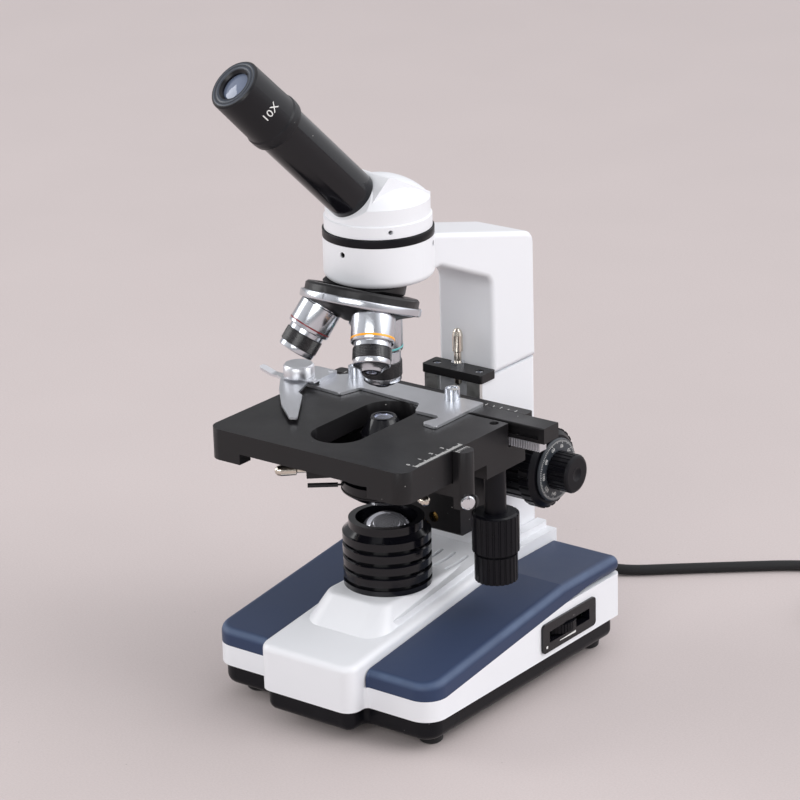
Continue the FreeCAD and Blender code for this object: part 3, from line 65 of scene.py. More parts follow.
# objective number: radius of its knurled sleeve, and where the sleeve starts and ends along the barrel
GRIPS = {0: (11.2, 85.2, 93.8), 1: (10.65, 77.8, 84.4), 2: (10.65, 77.8, 85.6)}
KNURL_PITCH, KNURL_DEPTH, KNURL_MARGIN = 0.92, 0.3, 0.3
# corners of one row of knurling: share of the way along the row, and whether it stands at full height
KNURL_TOOTH = ((0.06, False), (0.28, True), (0.78, True), (0.98, False))

# eyepiece tube and the lettering on the eyepiece
TUBE_CROSSING = Vector((0, 0, 276.8))
TUBE_TILT = math.radians(45)
HEAD_SWIVEL = math.radians(14)
EYE_FOOT, EYE_END, EYE_RADIUS = 92.2, 130.0, 15.6
EYE_SKIN = EYE_RADIUS - 0.42
EYE_TEXT_TURN = math.radians(84)
EYE_TEXT_ALONG, EYE_TEXT_SIZE = 19.0, 6.6

# stage, its two scales and the vernier on the post beside it
STAGE_TOP = 165.9
EDGE_SCALE_X, EDGE_SCALE_START = 66.6, -57.0
RAIL_SCALE_START, RAIL_SCALE_Y = -60.0, 42.2
VERNIER_X, VERNIER_START = 70.2, -26.9
POST_X, POST_Y, POST_RADIUS, POST_SCREW_Z = 71.3, -22.5, 5.6, 137.6
CARRIAGE_SCREW = (3, 43.2, 91)

# focus knobs, head seat and dimmer
FOCUS_Y, FOCUS_Z = 84.0, 117.5
RING_FACE_X, TICK_RADIUS, NUMERAL_RADIUS = 58.8, 17.5, 13.7
SEAT_RADIUS, SEAT_SCREW_FRONT_Z, SEAT_SCREW_SIDE_Z = 30.5, 264.8, 265.4
DIMMER_Y, DIMMER_Z, BEZEL_X, WEDGE_LENGTH = 66.0, 32.6, 78.7, 16.0

# mains lead
CORD_DIAMETER = 6.5
CORD_FLOOR = CORD_DIAMETER / 2 + 0.05
COIL_CENTRE = Vector((192.0, 243.0, 0))
COIL_RADIUS = 42.5
# a turn steps in (-1) or out (1) by one diameter between these angles along the coil, in degrees
COIL_SIDESTEPS = ((330, 390, -1), (690, 750, -1), (1410, 1470, 1), (1770, 1830, 1))
COIL_CLIMB = (980, 1080)
COIL_STEP_DEG, COIL_END_DEG = 18, 1870
COIL_ENTRY = math.radians(70)
COIL_LEAVE = COIL_ENTRY - math.radians(70)
PLUG_START = 27.0


def metres(point):
    """A point given in millimetres about the optical axis, as metres in the frame."""
    return AXIS + Vector(point) * MM


def feed(tree, socket, value):
    """Links an output of the node tree to socket, or sets a plain value on it."""
    if isinstance(value, bpy.types.NodeSocket):
        tree.links.new(value, socket)
    else:
        socket.default_value = value


# ---- camera -----------------------------------------------------------------------------------------------
CAMERA_AZIMUTH = math.radians(37.73)
CAMERA_ELEVATION = math.radians(19.74)
CAMERA_ROLL = math.radians(-1.51)
CAMERA_PLACE = (1018.65, -1301.27, 766.03)
CAMERA_LENS = 142.81


def make_camera():
    """The photograph's camera: it looks down its own axis, turned a little for the tilted horizon."""
    camera = bpy.data.objects.new("camera", bpy.data.cameras.new("camera"))
    bpy.context.scene.collection.objects.link(camera)
    camera.data.lens = CAMERA_LENS
    camera.data.sensor_width = 36.0
    camera.data.clip_start = 0.05
    camera.data.clip_end = 60.0
    a, e, roll = CAMERA_AZIMUTH, CAMERA_ELEVATION, CAMERA_ROLL
    back = Vector((math.sin(a) * math.cos(e), -math.cos(a) * math.cos(e), math.sin(e)))
    right = Vector((math.cos(a), math.sin(a), 0))
    up = back.cross(right)
    rolled_right = right * math.cos(roll) + up * math.sin(roll)
    rolled_up = up * math.cos(roll) - right * math.sin(roll)
    turn = Matrix((rolled_right, rolled_up, back)).transposed().to_4x4()
    camera.matrix_world = Matrix.Translation(metres(CAMERA_PLACE)) @ turn
    bpy.context.scene.camera = camera


make_camera()


# ---- materials --------------------------------------------------------------------------------------------
class Graph:
    """A short way to write a node tree: every call adds a node and returns its wanted output."""

    def __init__(self, name):
        self.material = bpy.data.materials.new(name)
        self.material.use_nodes = True
        self.tree = self.material.node_tree
        self.shader = self.tree.nodes["Principled BSDF"]
        self.place = self.add("ShaderNodeTexCoord").outputs["Object"]

    def add(self, kind, **settings):
        node = self.tree.nodes.new(kind)
        for key, value in settings.items():
            setattr(node, key, value)
        return node

    def link(self, output, socket):
        self.tree.links.new(output, socket)

    def put(self, socket, value):
        feed(self.tree, socket, value)

    def noise(self, scale, detail=3.0, rough=0.5, stretch=None):
        node = self.add("ShaderNodeTexNoise")
        node.inputs["Scale"].default_value = scale
        node.inputs["Detail"].default_value = detail
        node.inputs["Roughness"].default_value = rough
        place = self.place
        if stretch:
            mapping = self.add("ShaderNodeMapping")
            mapping.inputs["Scale"].default_value = stretch
            self.link(place, mapping.inputs["Vector"])
            place = mapping.outputs["Vector"]
        self.link(place, node.inputs["Vector"])
        return node.outputs["Fac"]

    def cells(self, scale):
        node = self.add("ShaderNodeTexVoronoi")
        node.inputs["Scale"].default_value = scale
        self.link(self.place, node.inputs["Vector"])
        return node.outputs["Distance"]

    def span(self, value, low, high, out_low, out_high):
        node = self.add("ShaderNodeMapRange")
        self.put(node.inputs["Value"], value)
        for key, number in (("From Min", low), ("From Max", high), ("To Min", out_low), ("To Max", out_high)):
            node.inputs[key].default_value = number
        return node.outputs["Result"]

    def mix(self, share, first, second):
        node = self.add("ShaderNodeMix", data_type="RGBA")
        self.put(node.inputs[0], share)
        self.put(node.inputs[6], first)
        self.put(node.inputs[7], second)
        return node.outputs[2]

    def math(self, operation, first, second):
        node = self.add("ShaderNodeMath", operation=operation)
        self.put(node.inputs[0], first)
        self.put(node.inputs[1], second)
        return node.outputs[0]

    def bump(self, height, depth_mm, strength=1.0, below=None):
        node = self.add("ShaderNodeBump")
        node.inputs["Strength"].default_value = strength
        node.inputs["Distance"].default_value = depth_mm * MM
        self.link(height, node.inputs["Height"])
        if below is not None:
            self.link(below, node.inputs["Normal"])
        return node.outputs["Normal"]


DUST_COLOUR = (0.55, 0.54, 0.52, 1.0)


def shaded(colour, factor):
    return tuple(channel * factor for channel in colour) + (1.0,)


def surface(name, colour, roughness, vary=0.06, rough_vary=0.06, cloud=45.0, grain=1400.0,
            depth_mm=0.01, metallic=0.0, coat=0.0, specular=0.5, dust=0.0, stretch=None, sheen=0.0):
    """Moulded, painted or plated: colour clouds, uneven gloss, fine grain and, on dark parts, dust."""
    g = Graph(name)
    clouds = g.noise(cloud, 4.0, 0.55)
    fine = g.noise(grain, 2.0, 0.6, stretch)
    base = g.mix(clouds, shaded(colour, 1 - vary), shaded(colour, 1 + vary))
    if dust:
        specks = g.span(g.cells(170.0), 0.035, 0.05, 1.0, 0.0)
        rare = g.span(g.noise(70.0, 1.0), 0.55, 0.6, 0.0, 1.0)
        share = g.math("MULTIPLY", g.math("MULTIPLY", specks, rare), dust)
        base = g.mix(share, base, DUST_COLOUR)
    g.link(base, g.shader.inputs["Base Color"])
    uneven = g.math("ADD", g.span(clouds, 0.3, 0.7, -rough_vary, rough_vary),
                    g.span(fine, 0.3, 0.7, roughness - rough_vary / 2, roughness + rough_vary / 2))
    g.link(uneven, g.shader.inputs["Roughness"])
    wide = g.bump(g.noise(cloud * 6, 2.0), depth_mm * 0.8)
    g.link(g.bump(fine, depth_mm, 1.0, wide), g.shader.inputs["Normal"])
    g.shader.inputs["Metallic"].default_value = metallic
    g.shader.inputs["Specular IOR Level"].default_value = specular
    g.shader.inputs["Coat Weight"].default_value = coat
    g.shader.inputs["Coat Roughness"].default_value = 0.12
    g.shader.inputs["Sheen Weight"].default_value = sheen
    return g


def blue_soft_touch():
    """Navy soft-touch covers, with a painted highlight: the rounded edges are painted a paler blue for the
    sheen they catch.
    """
    g = surface("blue_panel", (0.023, 0.039, 0.090), 0.46, vary=0.14, rough_vary=0.07, cloud=18.0,
                grain=1800.0, depth_mm=0.008, specular=0.28)
    normal = g.add("ShaderNodeNewGeometry").outputs["Normal"]
    split = g.add("ShaderNodeSeparateXYZ")
    g.link(normal, split.inputs[0])
    up = split.outputs["Z"]
    # painted highlight: faces that slope between flat and upright, the rounded edges, are mixed toward a
    # paler blue that stands in for their sheen
    rising = g.span(up, 0.15, 0.55, 0.0, 1.0)
    falling = g.span(up, 0.8, 0.985, 1.0, 0.0)
    painted_edge_sheen = g.math("MULTIPLY", g.math("MULTIPLY", rising, falling), g.span(g.noise(60.0), 0.3, 0.7, 0.5, 0.95))
    old = g.shader.inputs["Base Color"].links[0].from_socket
    g.link(g.mix(painted_edge_sheen, old, (0.072, 0.108, 0.190, 1.0)), g.shader.inputs["Base Color"])
    g.shader.inputs["Sheen Weight"].default_value = 0.06
    return g


def lens_glass(name, tint):
    """Coated glass with a faint uneven film."""
    g = Graph(name)
    film = g.noise(40.0, 3.0)
    g.link(g.mix(film, shaded(tint, 0.94), shaded(tint, 1.0)), g.shader.inputs["Base Color"])
    g.link(g.span(film, 0.3, 0.7, 0.01, 0.05), g.shader.inputs["Roughness"])
    g.shader.inputs["Transmission Weight"].default_value = 0.9
    g.shader.inputs["IOR"].default_value = 1.52
    g.shader.inputs["Coat Weight"].default_value = 0.6
    g.shader.inputs["Coat Tint"].default_value = (0.85, 0.88, 1.0, 1.0)
    return g


def circuit_green():
    """Green board with paler tracks."""
    g = surface("circuit", (0.02, 0.12, 0.05), 0.4, vary=0.25, cloud=120.0)
    tracks = g.span(g.cells(260.0), 0.1, 0.16, 1.0, 0.0)
    old = g.shader.inputs["Base Color"].links[0].from_socket
    g.link(g.mix(tracks, old, (0.5, 0.45, 0.3, 1.0)), g.shader.inputs["Base Color"])
    return g


looks = {
    "white_paint": surface("white_paint", (0.775, 0.785, 0.815), 0.40, vary=0.012, rough_vary=0.05,
                           cloud=25.0, grain=1500.0, depth_mm=0.018, coat=0.12),
    "blue_panel": blue_soft_touch(),
    "black_plastic": surface("black_plastic", (0.0045, 0.0045, 0.0065), 0.33, vary=0.2, cloud=90.0,
                             grain=1600.0, depth_mm=0.012, specular=0.18, dust=0.8),
    "black_gloss": surface("black_gloss", (0.0035, 0.0035, 0.0055), 0.16, vary=0.2, rough_vary=0.04,
                           cloud=60.0, grain=2200.0, depth_mm=0.004, coat=0.12, specular=0.34, dust=0.8),
    "black_metal": surface("black_metal", (0.0085, 0.0080, 0.0090), 0.38, vary=0.15, cloud=35.0, grain=2400.0,
                           depth_mm=0.012, specular=0.34, dust=1.0),
    "grey_metal": surface("grey_metal", (0.16, 0.16, 0.17), 0.40, metallic=0.4, vary=0.1),
    "rubber": surface("rubber", (0.012, 0.012, 0.013), 0.60, vary=0.2, cloud=70.0, grain=1200.0,
                      depth_mm=0.03, specular=0.3, sheen=0.05, dust=0.6),
    "chrome": surface("chrome", (0.70, 0.71, 0.74), 0.13, vary=0.02, rough_vary=0.035, cloud=60.0,
                      grain=2600.0, depth_mm=0.0015, metallic=1.0),
    "steel": surface("steel", (0.70, 0.71, 0.74), 0.36, vary=0.06, rough_vary=0.05, cloud=120.0, grain=2600.0,
                     depth_mm=0.006, metallic=1.0),
    "aluminium": surface("aluminium", (0.62, 0.62, 0.61), 0.38, vary=0.18, rough_vary=0.1, cloud=180.0,
                         grain=1500.0, depth_mm=0.01, metallic=0.9),
    "brass": surface("brass", (0.62, 0.40, 0.12), 0.28, vary=0.15, cloud=300.0, metallic=1.0),
    "glass": lens_glass("glass", (0.96, 0.97, 1.0)),
    "circuit": circuit_green(),
}
nickel = surface("nickel", (0.66, 0.60, 0.52), 0.16, vary=0.05, rough_vary=0.05, cloud=200.0, grain=2600.0,
                 depth_mm=0.002, metallic=1.0)
eye_black = surface("eyepiece_black", (0.006, 0.006, 0.008), 0.34, vary=0.15, rough_vary=0.04, cloud=60.0,
                    grain=2600.0, depth_mm=0.006, specular=0.3, dust=0.5)
satin_chrome = surface("satin_chrome", (0.60, 0.62, 0.66), 0.20, vary=0.03, rough_vary=0.05, cloud=70.0,
                       grain=2200.0, depth_mm=0.002, metallic=1.0)
knurl_black = surface("knurl_black", (0.006, 0.006, 0.008), 0.26, vary=0.2, cloud=90.0, specular=0.9,
                      dust=0.4)
scale_grey = surface("scale_grey", (0.030, 0.036, 0.044), 0.38, vary=0.12, cloud=150.0)
ring_face = surface("ring_face", (0.032, 0.040, 0.056), 0.34, vary=0.1, cloud=150.0)
white_ink = surface("white_ink", (0.72, 0.72, 0.70), 0.5, vary=0.12, cloud=900.0)
red_band = surface("red_band", (0.22, 0.012, 0.016), 0.3, vary=0.1, cloud=400.0, coat=0.3)
amber_band = surface("amber_band", (0.95, 0.38, 0.0), 0.3, vary=0.08, cloud=400.0, coat=0.3)
cyan_band = surface("cyan_band", (0.12, 0.50, 0.50), 0.3, vary=0.08, cloud=400.0, coat=0.3)
field_glass = lens_glass("field_glass", (0.93, 0.91, 0.90))
field_glass.shader.inputs["Transmission Weight"].default_value = 0.2
field_glass.shader.inputs["Metallic"].default_value = 0.75
eye_glass = lens_glass("eye_glass", (0.16, 0.19, 0.25))
eye_glass.shader.inputs["Transmission Weight"].default_value = 0.0


# ---- carried-over CAD pieces ------------------------------------------------------------------------------
OWN_LOOK = {
    "collector_lens": field_glass, "eye_lens": eye_glass, "eyepiece": eye_black, "limit_screw": nickel,
    "condenser_screws": nickel, "fine_scale_ring": scale_grey, "condenser_barrel": looks["black_gloss"],
    "holder_thumbscrews": satin_chrome,
}
# width of the broken edges of the machined pieces
EDGE_MM = {
    "stage_plate": 0.45, "stage_carriage": 0.4, "limit_bar": 0.35, "x_bar": 0.3, "slide_holder": 0.25,
    "slide_finger": 0.25, "finger_mount": 0.25, "lower_arm": 0.5, "dimmer_bezel": 0.3,
    "condenser_holder": 0.4, "guide_rails": 0.2, "turret_body": 0.3, "head_collar": 0.25,
    "vernier_post": 0.3,
}


def dress_cad():
    """Gives every CAD piece its material, and breaks the sharp edges of the machined ones."""
    for part in record["subparts"]:
        piece = nodes[part["node"]]
        look = OWN_LOOK.get(part["node"], looks[part["material_slot"]])
        for slot in piece.material_slots:
            slot.material = look.material
        if part["node"] in EDGE_MM:
            weld = piece.modifiers.new("weld", "WELD")
            weld.merge_threshold = 0.000002
            edge = piece.modifiers.new("edge", "BEVEL")
            edge.width = EDGE_MM[part["node"]] * MM
            edge.segments = 2
            edge.limit_method = "ANGLE"
            edge.angle_limit = math.radians(40)
            edge.harden_normals = True
            edge.use_clamp_overlap = True


dress_cad()


# ---- mesh tools -------------------------------------------------------------------------------------------
def piece_from(name, mesh, body, look, smooth=True, crease_deg=None):
    """Makes a named piece of the mesh, dresses it, and lets it ride on its body."""
    bmesh.ops.recalc_face_normals(mesh, faces=mesh.faces)
    data = bpy.data.meshes.new(name)
    mesh.to_mesh(data)
    mesh.free()
    for face in data.polygons:
        face.use_smooth = smooth
    if crease_deg is not None:
        data.set_sharp_from_angle(angle=math.radians(crease_deg))
    data.materials.append(look.material)
    thing = bpy.data.objects.new(name, data)
    bpy.context.scene.collection.objects.link(thing)
    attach(thing, body)
    return thing


def basis(axis):
    """Two unit vectors across axis."""
    axis = Vector(axis).normalized()
    side = axis.cross(Vector((0, 0, 1)))
    if side.length < 0.01:
        side = Vector((1, 0, 0))
    side.normalize()
    return axis, side, axis.cross(side)


def lathe(mesh, profile, start, axis, columns=96, reach=None):
    """Closed ring of faces round axis through start: profile is a loop of (radius, height) in millimetres."""
    axis, side, across = basis(axis)
    start = Vector(start)
    rows = []
    for index, (radius, height) in enumerate(profile):
        row = []
        for column in range(columns):
            turn = 2 * math.pi * column / columns
            out = radius if reach is None else reach(index, column, radius)
            spot = start + axis * height + (side * math.cos(turn) + across * math.sin(turn)) * out
            row.append(mesh.verts.new(metres(spot)))
        rows.append(row)
    for index, row in enumerate(rows):
        following = rows[(index + 1) % len(rows)]
        for column in range(columns):
            ahead = (column + 1) % columns
            mesh.faces.new((row[column], row[ahead], following[ahead], following[column]))


def tile(mesh, place, width, height, rise=0.04):
    """A thin raised bar of ink, centred on u = v = 0. place(u, v, w) gives a point in millimetres."""
    corners = [(width * u / 2, height * v / 2) for u, v in ((-1, -1), (1, -1), (1, 1), (-1, 1))]
    low = [mesh.verts.new(metres(place(u, v, 0.0))) for u, v in corners]
    high = [mesh.verts.new(metres(place(u, v, rise))) for u, v in corners]
    mesh.faces.new(high)
    mesh.faces.new(low[::-1])
    for i in range(4):
        j = (i + 1) % 4
        mesh.faces.new((low[i], low[j], high[j], high[i]))


def lettering(mesh, text, size, place, rise=0.05):
    """Generic numerals as thin raised faces, laid on a surface through place(u, v, w) in millimetres."""
    curve = bpy.data.curves.new("numeral", "FONT")
    curve.body = text
    curve.size = size
    curve.align_x = "CENTER"
    curve.align_y = "CENTER"
    curve.resolution_u = 3
    holder = bpy.data.objects.new("numeral", curve)
    bpy.context.scene.collection.objects.link(holder)
    bpy.context.view_layer.update()
    flat = bmesh.new()
    flat.from_mesh(holder.to_mesh())
    holder.to_mesh_clear()
    bpy.data.objects.remove(holder)
    bmesh.ops.triangulate(flat, faces=flat.faces)
    long_edges = [edge for edge in flat.edges if edge.calc_length() > 0.35 * size]
    bmesh.ops.subdivide_edges(flat, edges=long_edges, cuts=2)
    bmesh.ops.triangulate(flat, faces=flat.faces)
    grown = bmesh.ops.extrude_face_region(flat, geom=list(flat.faces))
    tops = {v for v in grown["geom"] if isinstance(v, bmesh.types.BMVert)}
    copies = {}
    for v in flat.verts:
        copies[v] = mesh.verts.new(metres(place(v.co.x, v.co.y, rise if v in tops else 0.0)))
    for face in flat.faces:
        mesh.faces.new([copies[v] for v in face.verts])
    flat.free()


# ---- mains lead -------------------------------------------------------------------------------------------
def cord_route():
    """The free run from the gland to the coil, the same corners as the CAD tube, in millimetres."""
    entry = COIL_CENTRE + Vector((math.cos(COIL_ENTRY), math.sin(COIL_ENTRY), 0)) * COIL_RADIUS
    return [(-34.0, 150.0, 29.0), (-33.4, 170, 27.2), (-24.6, 189.3, 17.8), (-6, 199, 7.2),
            (19.5, 206.0, CORD_FLOOR), (46, 228, CORD_FLOOR), (76, 252, CORD_FLOOR), (104, 274, CORD_FLOOR),
            (134, 290, CORD_FLOOR), (172, 292, CORD_FLOOR), (entry.x, entry.y, CORD_FLOOR)]


def eased(value, low, high):
    """0 up to low, 1 from high on, and a smooth climb between them."""
    share = min(max((value - low) / (high - low), 0.0), 1.0)
    return share * share * (3 - 2 * share)


def coil_points():
    """Two layers of three turns. The curve runs a little inside its points, so they stand swollen."""
    swell = 8 / (6 + 2 * math.cos(math.radians(COIL_STEP_DEG)))
    points = []
    for angle in range(COIL_STEP_DEG, COIL_END_DEG + 1, COIL_STEP_DEG):
        radius = COIL_RADIUS
        for start, end, way in COIL_SIDESTEPS:
            radius += way * CORD_DIAMETER * eased(angle, start, end)
        height = CORD_FLOOR + CORD_DIAMETER * eased(angle, *COIL_CLIMB)
        turn = COIL_ENTRY - math.radians(angle)
        points.append((COIL_CENTRE.x + radius * swell * math.cos(turn),
                       COIL_CENTRE.y + radius * swell * math.sin(turn), height))
    return points


def make_cord():
    """The whole lead as one curve: the free run, the coil, and the end that climbs into the plug."""
    heading = Vector((math.sin(COIL_LEAVE), -math.cos(COIL_LEAVE), 0))
    touch = COIL_CENTRE + Vector((math.cos(COIL_LEAVE), math.sin(COIL_LEAVE), 0)) * COIL_RADIUS
    tail = [touch + heading * 6 + Vector((0, 0, 10.0)), touch + heading * 16 + Vector((0, 0, 11.2)),
            touch + heading * (PLUG_START + 3) + Vector((0, 0, 12.0))]
    route = cord_route() + coil_points() + [tuple(p) for p in tail]
    curve = bpy.data.curves.new("mains_lead", "CURVE")
    curve.dimensions = "3D"
    spline = curve.splines.new("NURBS")
    spline.points.add(len(route) - 1)
    for point, place in zip(spline.points, route):
        point.co = (*metres(place), 1.0)
    spline.order_u = 3
    spline.use_endpoint_u = True
    spline.resolution_u = 8
    curve.bevel_depth = CORD_DIAMETER / 2 * MM
    curve.bevel_resolution = 5
    curve.use_fill_caps = True
    lead = bpy.data.objects.new("mains_lead", curve)
    bpy.context.scene.collection.objects.link(lead)
    curve.materials.append(looks["rubber"].material)
    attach(lead, "stand")
    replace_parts(lead, "power_cord", "power_cord_coil")


make_cord()


# ---- nosepiece details ------------------------------------------------------------------------------------
turret_axis = Vector((0, -math.sin(TURRET_TILT), -math.cos(TURRET_TILT)))


def objective_axis(index):
    """Direction from the apex down the barrel of one objective."""
    return Matrix.Rotation(math.radians(120 * index), 3, turret_axis) @ Vector((0, 0, -1))


def colour_band(name, index, low, high, look):
    """Painted magnification ring, a hair proud of the barrel."""
    mesh = bmesh.new()
    outer, inner = OBJECTIVE_RADIUS + 0.14, OBJECTIVE_RADIUS - 0.3
    profile = [(inner, low), (outer - 0.04, low), (outer, low + 0.1),
               (outer, high - 0.1), (outer - 0.04, high), (inner, high)]
    lathe(mesh, profile, APEX, objective_axis(index))
    piece_from(name, mesh, "nosepiece", look)


def knurled_sleeve(mesh, index, radius, low, high):
    """Square-cut knurling: rows and columns of small flat-topped studs."""
    around = round(2 * math.pi * radius / KNURL_PITCH)
    field = high - low - 2 * KNURL_MARGIN
    rows = round(field / KNURL_PITCH)
    profile = [(radius - 1.0, low), (radius - 0.35, low), (radius - 0.1, low + 0.25)]
    raised_rows = set()
    start = low + KNURL_MARGIN
    step = field / rows
    for row in range(rows):
        foot = start + row * step
        for share, raised in KNURL_TOOTH:
            if raised:
                raised_rows.add(len(profile))
            profile.append((radius - (0 if raised else KNURL_DEPTH), foot + share * step))
    profile += [(radius - 0.1, high - 0.25), (radius - 0.35, high), (radius - 1.0, high)]

    def reach(row, column, out):
        if row in raised_rows and column % 4 in (0, 3):
            return out - KNURL_DEPTH
        return out

    lathe(mesh, profile, APEX, objective_axis(index), columns=around * 4, reach=reach)


def softened(profile, size=0.12):
    """The same closed outline with every corner cut back a little."""
    outline = []
    for index, corner in enumerate(profile):
        here = Vector(corner)
        for other in (profile[index - 1], profile[(index + 1) % len(profile)]):
            gap = Vector(other) - here
            outline.append(tuple(here + gap.normalized() * min(size, gap.length * 0.3)))
    return outline


def barrel(name, node, index, neck, grip, tip):
    """One objective turned in bright metal, with the seat for its knurled sleeve."""
    radius, low, high = grip
    outline = [(4.0, SEAT - 4.5), (9.8, SEAT - 4.5), (9.8, SEAT), (OBJECTIVE_RADIUS, SEAT),
               (OBJECTIVE_RADIUS, neck - 0.6), (OBJECTIVE_RADIUS - 0.6, neck), (radius - 0.6, neck),
               (radius - 0.6, low), (radius - 1.2, low), (radius - 1.2, high), (radius - 0.5, high),
               (radius - 0.5, high + 2.6), (radius - 1.0, high + 3.1)] + tip
    mesh = bmesh.new()
    lathe(mesh, softened(outline), APEX, objective_axis(index), 144)
    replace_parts(piece_from(name, mesh, "nosepiece", satin_chrome, crease_deg=30), node)


def nosepiece_ring():
    """The bright ring of the nosepiece with its three click notches."""
    _, side, across = basis(turret_axis)
    columns = 360
    notched = set()
    for index in range(3):
        spot = Matrix.Rotation(math.radians(120 * index + 60), 3, turret_axis) @ Vector((0, 0, -1))
        turn = math.degrees(math.atan2(spot.dot(across), spot.dot(side)))
        notched |= {(round(turn) + shift) % columns for shift in (-1, 0, 1)}
    rim, inside, chamfer = RING_RADIUS, RING_RADIUS - 1.55, 0.5
    outline = softened([(inside, RING_TOP), (rim - chamfer, RING_TOP), (rim, RING_TOP + chamfer),
                        (rim, RING_BOTTOM - 0.6), (rim - chamfer, RING_BOTTOM), (inside, RING_BOTTOM)])

    def reach(row, column, out):
        return out - NOTCH_DEPTH if column in notched and out > rim - 0.6 else out

    mesh = bmesh.new()
    lathe(mesh, outline, APEX, turret_axis, columns, reach)
    ring = piece_from("nosepiece_ring", mesh, "nosepiece", satin_chrome, crease_deg=30)
    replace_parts(ring, "turret_ring")


def nosepiece_details():
    """Barrels, ring, colour bands and knurled sleeves, all riding on the nosepiece."""
    barrel("barrel_40x", "objective_40x", 0, 79.2, GRIPS[0],
           [(8.8, 98.0), (5.2, 99.4), (4.4, 100.2), (2.0, 100.2), (2.0, 98), (4.0, 95)])
    barrel("barrel_10x", "objective_10x", 1, 75.1, GRIPS[1],
           [(9.0, 87.6), (6.2, 89.6), (5.4, 91.0), (3.0, 91.0), (3.0, 88), (4.0, 86)])
    barrel("barrel_4x", "objective_4x", 2, 75.1, GRIPS[2],
           [(7.6, 88.7), (7.0, 87.0), (5.0, 87.0), (5.0, 85), (4.0, 83)])
    nosepiece_ring()
    colour_band("band_4x", 2, 72.3, 73.1, red_band)
    colour_band("band_10x", 1, 72.2, 73.4, amber_band)
    colour_band("band_40x", 0, 76.3, 77.3, cyan_band)
    mesh = bmesh.new()
    for index, (radius, low, high) in GRIPS.items():
        knurled_sleeve(mesh, index, radius, low, high)
    grips = piece_from("knurled_grips", mesh, "nosepiece", knurl_black, smooth=False)
    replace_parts(grips, "objective_grips")


nosepiece_details()


# ---- eyepiece details -------------------------------------------------------------------------------------
tube_plan = Vector((-math.sin(HEAD_SWIVEL), -math.cos(HEAD_SWIVEL), 0))
tube_axis = tube_plan * math.cos(TUBE_TILT) + Vector((0, 0, math.sin(TUBE_TILT)))


def eyepiece_details():
    """The stepped ring on the face of the eyepiece, and its magnification as bare text."""
    mesh = bmesh.new()
    foot, top, groove = EYE_END - 0.3, EYE_END + 0.03, EYE_END - 0.12
    profile = [(9.5, foot), (9.5, top), (11.7, top), (11.75, groove), (12.0, groove), (12.05, top),
               (13.5, top), (13.7, foot)]
    lathe(mesh, profile, TUBE_CROSSING, tube_axis, 128)
    piece_from("eyepiece_face", mesh, "ocular", ring_face)

    side = tube_axis.cross(tube_plan).normalized()
    front = side.cross(tube_axis).normalized()

    def round_cap(u, v, w):
        turn = EYE_TEXT_TURN + u / EYE_SKIN
        out = front * math.cos(turn) + side * math.sin(turn)
        return TUBE_CROSSING + tube_axis * (EYE_FOOT + EYE_TEXT_ALONG + v) + out * (EYE_SKIN + w)

    mesh = bmesh.new()
    lettering(mesh, "10X", EYE_TEXT_SIZE, round_cap, rise=0.1)
    piece_from("eyepiece_numeral", mesh, "ocular", white_ink, smooth=False)


eyepiece_details()


# ---- stage details ----------------------------------------------------------------------------------------
def stage_scales():
    """Engraved and inked scales: along the right edge, along the rear rail and on the top of the post."""
    mesh = bmesh.new()
    for step in range(41):
        y = EDGE_SCALE_START + step
        long_mark = step % 10 == 0
        middle_mark = step % 5 == 0
        length = 3.4 if long_mark else 2.7 if middle_mark else 2.1
        spot = Vector((EDGE_SCALE_X - length / 2, y, STAGE_TOP))
        tile(mesh, lambda u, v, w, s=spot: s + Vector((u, v, w)), width=length, height=0.42)
        if long_mark and step < 40:
            number = Vector((EDGE_SCALE_X - 6.2, y, STAGE_TOP))
            lettering(mesh, str(step // 10), 3.2, lambda u, v, w, s=number: s + Vector((-v, u, w)))
    for step in range(25):
        x = RAIL_SCALE_START + 5 * step
        length = 2.6 if step % 2 == 0 else 1.5
        spot = Vector((x, RAIL_SCALE_Y, STAGE_TOP))
        tile(mesh, lambda u, v, w, s=spot: s + Vector((u, v, w)), width=0.4, height=length)
    piece_from("stage_scale", mesh, "stage", white_ink, smooth=False)
    mesh = bmesh.new()
    for step in range(6):
        x = VERNIER_X + (0.5 if step % 5 == 0 else 0)
        spot = Vector((x, VERNIER_START + 1.8 * step, STAGE_TOP))
        length = 3.0 if step % 5 == 0 else 2.2
        tile(mesh, lambda u, v, w, s=spot: s + Vector((u, v, w)), width=length, height=0.36)
    piece_from("vernier_scale", mesh, "carriage", white_ink, smooth=False)


def slotted_head(name, start, axis, radius, thick, body, look):
    """Screw head with a straight slot, cut as a channel through a turned head."""
    axis_unit, side, across = basis(axis)
    start = Vector(start)
    mesh = bmesh.new()
    columns, half_slot, floor = 64, 0.62, thick * 0.5
    rings = [(radius, 0.0), (radius, thick * 0.6), (radius * 0.86, thick * 0.9), (radius * 0.6, thick)]
    rows = []
    for ring_radius, height in rings:
        row = []
        for column in range(columns):
            turn = 2 * math.pi * column / columns
            u, v = ring_radius * math.cos(turn), ring_radius * math.sin(turn)
            lowered = min(height, floor) if abs(u) < half_slot else height
            row.append(mesh.verts.new(metres(start + axis_unit * lowered + side * u + across * v)))
        rows.append(row)
    for low, high in zip(rows, rows[1:]):
        for column in range(columns):
            ahead = (column + 1) % columns
            mesh.faces.new((low[column], low[ahead], high[ahead], high[column]))
    mesh.faces.new(rows[0][::-1])
    bmesh.ops.contextual_create(mesh, geom=rows[-1])
    piece_from(name, mesh, body, look, crease_deg=25)


